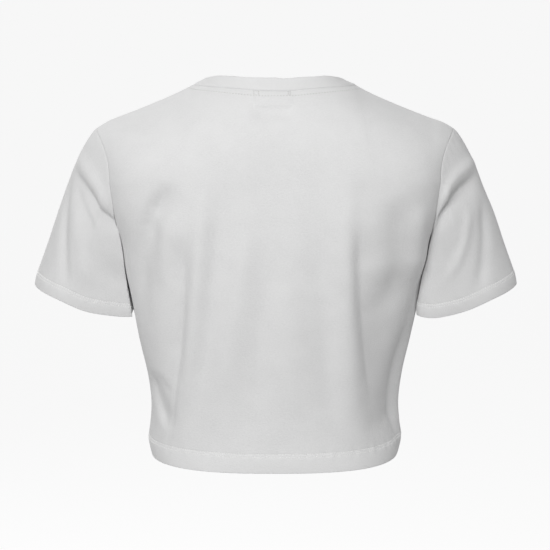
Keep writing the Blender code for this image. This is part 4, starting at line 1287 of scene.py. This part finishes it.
def floor_material(stage):
    """Matt white paper sweep, lit from within its own tone so that it stays plain and pale."""
    material = new_material("matt paper sweep")
    tree = material.node_tree
    # Paper fibre clouds, half a metre across.
    clouds = noise(tree, object_place(tree), 2.0, 2.0)
    shade = blend(tree, clouds, tinted(stage.floor_colour, 0.995), stage.floor_colour)
    finish_material(tree, {"Base Color": shade, "Roughness": 1.0, "Specular IOR Level": 0.0,
                           "Emission Color": colour("FFFFFF"), "Emission Strength": stage.floor_glow})
    return material


# ---------------------------------------------------------------- settings
def length_setting(name, description, default, low, high, precision=4):
    """A setting that holds a length in metres."""
    return bpy.props.FloatProperty(name=name, description=description, default=default, min=low,
                                   max=high, precision=precision, unit="LENGTH")


def colour_setting(name, description, code):
    """A setting that holds a colour."""
    return bpy.props.FloatVectorProperty(name=name, description=description, default=colour(code),
                                         size=4, min=0.0, max=1.0, subtype="COLOR")


class ClothSettings(bpy.types.PropertyGroup):
    """Thickness, knit and colour of the cloth."""

    thickness: length_setting("Cloth thickness", "Thickness of one layer of jersey as it shows",
                              0.0010, 0.0004, 0.0015)
    hem_thickness: length_setting("Hem thickness", "Thickness of the doubled hem", 0.0018, 0.0008, 0.0023)
    wale_pitch: length_setting("Wale pitch", "Distance between the jersey's wales",
                               0.00085, 0.0005, 0.003, 5)
    rib_pitch: length_setting("Rib pitch", "Distance between the neckband's ribs", 0.0014, 0.0008, 0.004)
    jersey_colour: colour_setting("Jersey colour", "Colour of the body and sleeves", "EAEAEA")
    rib_colour: colour_setting("Rib colour", "Colour of the neckband", "EAEAEA")


class SewingSettings(bpy.types.PropertyGroup):
    """Stitches and their thread."""

    stitch_pitch: length_setting("Stitch length", "Distance from one stitch to the next",
                                 0.0028, 0.0015, 0.005)
    thread_width: length_setting("Thread width", "Width of a stitch's thread", 0.00060, 0.0002, 0.001, 5)
    thread_sink: length_setting("Thread sink", "How far the thread's middle lies below the cloth's surface",
                                -0.00002, -0.0003, 0.0003, 5)
    thread_colour: colour_setting("Thread colour", "Colour of the sewing thread", "FAFAF9")
    # Painted shade: a darker thread colour stands in for the shade in the needle holes of the neck and the
    # label.
    painted_shade_thread_colour: colour_setting("Thread colour with painted shade", "Darker thread colour that paints the shade of the neck's needle holes",
                                "D9D9D7")


class StageSettings(bpy.types.PropertyGroup):
    """Floor, light and camera."""

    floor_height: length_setting("Floor height", "Height of the floor below the neck of a wearer",
                                 -1.35, -2.0, -0.43, 2)
    floor_colour: colour_setting("Floor colour", "Colour of the floor", "8C8C8C")
    floor_glow: bpy.props.FloatProperty(
        name="Floor glow", description="Light that the floor adds to what falls on it",
        default=0.83, min=0.0, max=1.0)
    sky: bpy.props.FloatProperty(
        name="Sky light", description="Strength of the even light all round", default=0.38, min=0.0, max=3.0)
    key: bpy.props.FloatProperty(
        name="Key light", description="Power of the large soft light at the upper left of the view",
        default=31.2, min=0.0, max=500.0, unit="POWER")
    camera_distance: length_setting("Camera distance", "Distance from the camera to the garment's middle",
                                    2.5, 1.0, 6.0, 2)
    camera_elevation: bpy.props.FloatProperty(
        name="Camera elevation", description="How far the camera looks down",
        default=math.radians(10), min=-0.5, max=1.5, subtype="ANGLE")


# ---------------------------------------------------------------- operators
def jersey_sheet(name, cloth, node, settings, flat, area, rests_on, **build):
    """Make and mark one cut piece of jersey in place of its solid."""
    hem = BODY_HEM if not build["ring"] else SLEEVE_HEM
    doubled = smooth_step((hem + 0.0008 - cloth.hem_height) / 0.0016)
    thickness = settings.thickness + (settings.hem_thickness - settings.thickness) * doubled
    material = bpy.data.materials.get("combed cotton single jersey") or jersey_material(settings)
    piece = make_sheet(name, cloth, thickness, material=material, **build)
    mark(piece, "doubled", np.tile(doubled.ravel(), 2))
    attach(piece, "root")
    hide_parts(node)
    return piece


class CROPTOP_OT_body(bpy.types.Operator):
    """Shape the back and front panels"""
    bl_idname = "croptop.body"
    bl_label = "Body"

    def execute(self, context):
        settings = context.scene.crop_top_cloth
        for name, node, side, other in (("back_cloth", "back", BACK, "front_cloth"),
                                        ("front_cloth", "front", FRONT, "back_cloth")):
            jersey_sheet(name, panel_cloth(side), node, settings, BODY_CUT, BODY_CUT_AREA, [other],
                         ring=False, turned=side == BACK, mirror=1)
        return {"FINISHED"}


class CROPTOP_OT_sleeves(bpy.types.Operator):
    """Shape the two sleeves, the right one in the mirror with its own folds"""
    bl_idname = "croptop.sleeves"
    bl_label = "Sleeves"

    def execute(self, context):
        settings = context.scene.crop_top_cloth
        for side, mirror in (("left", 1), ("right", -1)):
            jersey_sheet("sleeve_" + side + "_cloth", sleeve_cloth(side), "sleeve_" + side, settings,
                         SLEEVE_CUT, SLEEVE_CUT_AREA, ["back_cloth", "front_cloth"],
                         ring=True, turned=mirror > 0, mirror=mirror)
        return {"FINISHED"}


class CROPTOP_OT_neckband(bpy.types.Operator):
    """Fold the rib band round the neck"""
    bl_idname = "croptop.neckband"
    bl_label = "Neckband"

    def execute(self, context):
        points = band_cloth()
        rows, columns = points.shape[:2]
        numbers = np.arange(rows * columns).reshape(rows, columns)
        numbers = np.column_stack([numbers, numbers[:, 0]])
        numbers = np.vstack([numbers, numbers[0]])
        opened = np.concatenate([points, points[:, :1]], axis=1)
        opened = np.concatenate([opened, opened[:1]], axis=0)
        round_length = np.broadcast_to(path_length(opened[:1], 1), opened.shape[:2])
        up_length = np.broadcast_to(path_length(opened[:, :1], 0), opened.shape[:2])
        places = np.stack([round_length, up_length], axis=-1).reshape(-1, 2) * 1000
        place_numbers = np.arange(len(places)).reshape(opened.shape[:2])
        piece = make_piece("neckband_rib", points.reshape(-1, 3), quads(numbers)[:, ::-1], places,
                           quads(place_numbers)[:, ::-1], rib_material(context.scene.crop_top_cloth))
        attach(piece, "root")
        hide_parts("neckband")
        return {"FINISHED"}


class CROPTOP_OT_label(bpy.types.Operator):
    """Lay the blank label inside the back neck"""
    bl_idname = "croptop.label"
    bl_label = "Label"

    def execute(self, context):
        cloth = label_cloth(context.scene.crop_top_cloth.thickness)
        piece = make_sheet("label_tape", cloth, np.full(cloth.points.shape[:2], LABEL_THICKNESS),
                           ring=False, turned=True, mirror=1, material=tape_material())
        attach(piece, "root")
        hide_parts("label")
        return {"FINISHED"}


class CROPTOP_OT_stitching(bpy.types.Operator):
    """Sew the hems, the back neckline and the ends of the label"""
    bl_idname = "croptop.stitching"
    bl_label = "Stitching"

    def execute(self, context):
        settings = context.scene.crop_top_sewing
        pattern = stitch_pattern(settings.stitch_pitch * STITCH_SHARE, settings.thread_width)
        thread = thread_material("spun polyester thread", settings.thread_colour)
        # Painted shade: the neck's and the label's stitches get the darker thread, for the shade of their
        # needle holes.
        painted_shade_thread = thread_material("spun polyester thread, sunk in its seam", settings.painted_shade_thread_colour)
        groups = {
            "stitches_body_hem": hem_stitch_lines(BODY_STITCH_ROWS),
            "stitches_sleeve_left": sleeve_stitch_lines("left", 1),
            "stitches_sleeve_right": sleeve_stitch_lines("right", -1),
            "stitches_neck": [neck_stitch_line()],
            "stitches_label": label_stitch_lines(),
        }
        for name, lines in groups.items():
            pitch = settings.stitch_pitch * (SUNK_PITCH if name in SUNK_STITCHES_WITH_PAINTED_SHADE else 1.0)
            corners, faces = sew(pattern, lines, pitch, settings.thread_sink)
            piece = make_smooth(name, corners.tolist(), faces,
                                painted_shade_thread if name in SUNK_STITCHES_WITH_PAINTED_SHADE else thread)
            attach(piece, "root")
        return {"FINISHED"}


def stitch_pattern(length, width):
    """Model one stitch along X with rounded ends, and give its corners and faces."""
    bpy.ops.object.select_all(action="DESELECT")
    bpy.ops.mesh.primitive_cylinder_add(vertices=6, radius=width / 2, depth=length * STITCH_STRAIGHT,
                                        rotation=(0.0, math.pi / 2, 0.0))
    stitch = bpy.context.active_object
    bpy.ops.object.transform_apply(location=True, rotation=True, scale=True)
    bpy.ops.object.mode_set(mode="EDIT")
    bpy.ops.mesh.select_all(action="DESELECT")
    bpy.ops.object.mode_set(mode="OBJECT")
    for face in stitch.data.polygons:
        face.select = abs(face.normal.x) > 0.9
    bpy.ops.object.mode_set(mode="EDIT")
    bpy.ops.mesh.inset(thickness=width * STITCH_NARROWING, depth=length * STITCH_END)
    bpy.ops.mesh.select_all(action="SELECT")
    bpy.ops.transform.resize(value=(1.0, 1.0, STITCH_FLATNESS))
    bpy.ops.object.mode_set(mode="OBJECT")
    corners = np.array([vertex.co for vertex in stitch.data.vertices])
    faces = [tuple(face.vertices) for face in stitch.data.polygons]
    bpy.data.objects.remove(stitch)
    return corners, faces


def sweep(height):
    """Model the round floor, whose edge rises all round so that no view looks past it."""
    bpy.ops.object.select_all(action="DESELECT")
    bpy.ops.mesh.primitive_circle_add(vertices=96, radius=FLOOR_FLAT, fill_type="NGON",
                                      location=(0.0, 0.0, height))
    floor = bpy.context.active_object
    floor.name = "floor"
    bpy.ops.object.transform_apply(location=True, rotation=True, scale=True)
    bpy.ops.object.mode_set(mode="EDIT")
    bpy.ops.mesh.select_all(action="SELECT")
    bpy.ops.mesh.region_to_loop()
    reach = np.linspace(FLOOR_FLAT, FLOOR_REACH, FLOOR_STEPS + 1)
    rise = FLOOR_RISE * ((reach - FLOOR_FLAT) / (FLOOR_REACH - FLOOR_FLAT)) ** 2
    for i in range(FLOOR_STEPS):
        bpy.ops.mesh.extrude_edges_move(TRANSFORM_OT_translate={"value": (0.0, 0.0, rise[i + 1] - rise[i])})
        bpy.ops.transform.resize(value=(reach[i + 1] / reach[i], reach[i + 1] / reach[i], 1.0))
    bpy.ops.object.mode_set(mode="OBJECT")
    bpy.ops.object.shade_smooth()
    return floor


class CROPTOP_OT_stage(bpy.types.Operator):
    """Set the floor, the lights and the camera"""
    bl_idname = "croptop.stage"
    bl_label = "Stage"

    def execute(self, context):
        settings = context.scene.crop_top_stage
        floor = sweep(settings.floor_height)
        floor.data.materials.append(floor_material(settings))
        floor.visible_diffuse = False

        world = bpy.data.worlds.new("even white sky")
        world.use_nodes = True
        sky = world.node_tree.nodes["Background"]
        sky.inputs["Color"].default_value = colour("FFFFFF")
        sky.inputs["Strength"].default_value = settings.sky
        context.scene.world = world

        middle = Vector(GARMENT_MIDDLE)
        for lamp in LAMPS:
            light = bpy.data.lights.new(lamp.name, "AREA")
            light.shape = "DISK"
            light.size = lamp.width
            light.energy = settings.key * lamp.share
            stand = bpy.data.objects.new(lamp.name, light)
            stand.location = lamp.place
            stand.rotation_euler = (middle - stand.location).to_track_quat("-Z", "Y").to_euler()
            context.scene.collection.objects.link(stand)

        camera = bpy.data.cameras.new("camera")
        camera.lens = camera.sensor_width * FOCAL_PIXELS / IMAGE_PIXELS
        camera.clip_end = 300.0
        eye = bpy.data.objects.new("camera", camera)
        back = Vector((0.0, math.cos(settings.camera_elevation), math.sin(settings.camera_elevation)))
        eye.location = middle + back * settings.camera_distance
        eye.rotation_euler = (-back).to_track_quat("-Z", "Y").to_euler()
        context.scene.collection.objects.link(eye)
        context.scene.camera = eye
        context.scene.view_settings.view_transform = "Standard"
        return {"FINISHED"}


class CROPTOP_PT_panel(bpy.types.Panel):
    """Settings and steps of the crop top"""
    bl_label = "Crop top"
    bl_idname = "CROPTOP_PT_panel"
    bl_space_type = "VIEW_3D"
    bl_region_type = "UI"
    bl_category = "Crop top"

    def draw(self, context):
        layout = self.layout
        for settings in (context.scene.crop_top_cloth, context.scene.crop_top_sewing,
                         context.scene.crop_top_stage):
            box = layout.box()
            for name in settings.__annotations__:
                box.prop(settings, name)
        for step in STEPS:
            layout.operator(step.bl_idname)


GROUPS = {"crop_top_cloth": ClothSettings, "crop_top_sewing": SewingSettings, "crop_top_stage": StageSettings}
STEPS = (CROPTOP_OT_body, CROPTOP_OT_sleeves, CROPTOP_OT_neckband, CROPTOP_OT_label, CROPTOP_OT_stitching,
         CROPTOP_OT_stage)


def register():
    """Add the settings, the steps and the panel to Blender."""
    for group in GROUPS.values():
        bpy.utils.register_class(group)
    for name, group in GROUPS.items():
        setattr(bpy.types.Scene, name, bpy.props.PointerProperty(type=group))
    for step in STEPS:
        bpy.utils.register_class(step)
    bpy.utils.register_class(CROPTOP_PT_panel)


def unregister():
    """Take the panel, the steps and the settings out of Blender again."""
    bpy.utils.unregister_class(CROPTOP_PT_panel)
    for step in reversed(STEPS):
        bpy.utils.unregister_class(step)
    for name in GROUPS:
        delattr(bpy.types.Scene, name)
    for group in reversed(GROUPS.values()):
        bpy.utils.unregister_class(group)


def main():
    """Register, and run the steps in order."""
    register()
    bpy.ops.croptop.body()
    bpy.ops.croptop.sleeves()
    bpy.ops.croptop.neckband()
    bpy.ops.croptop.label()
    bpy.ops.croptop.stitching()
    bpy.ops.croptop.stage()


if __name__ == "__main__":
    main()
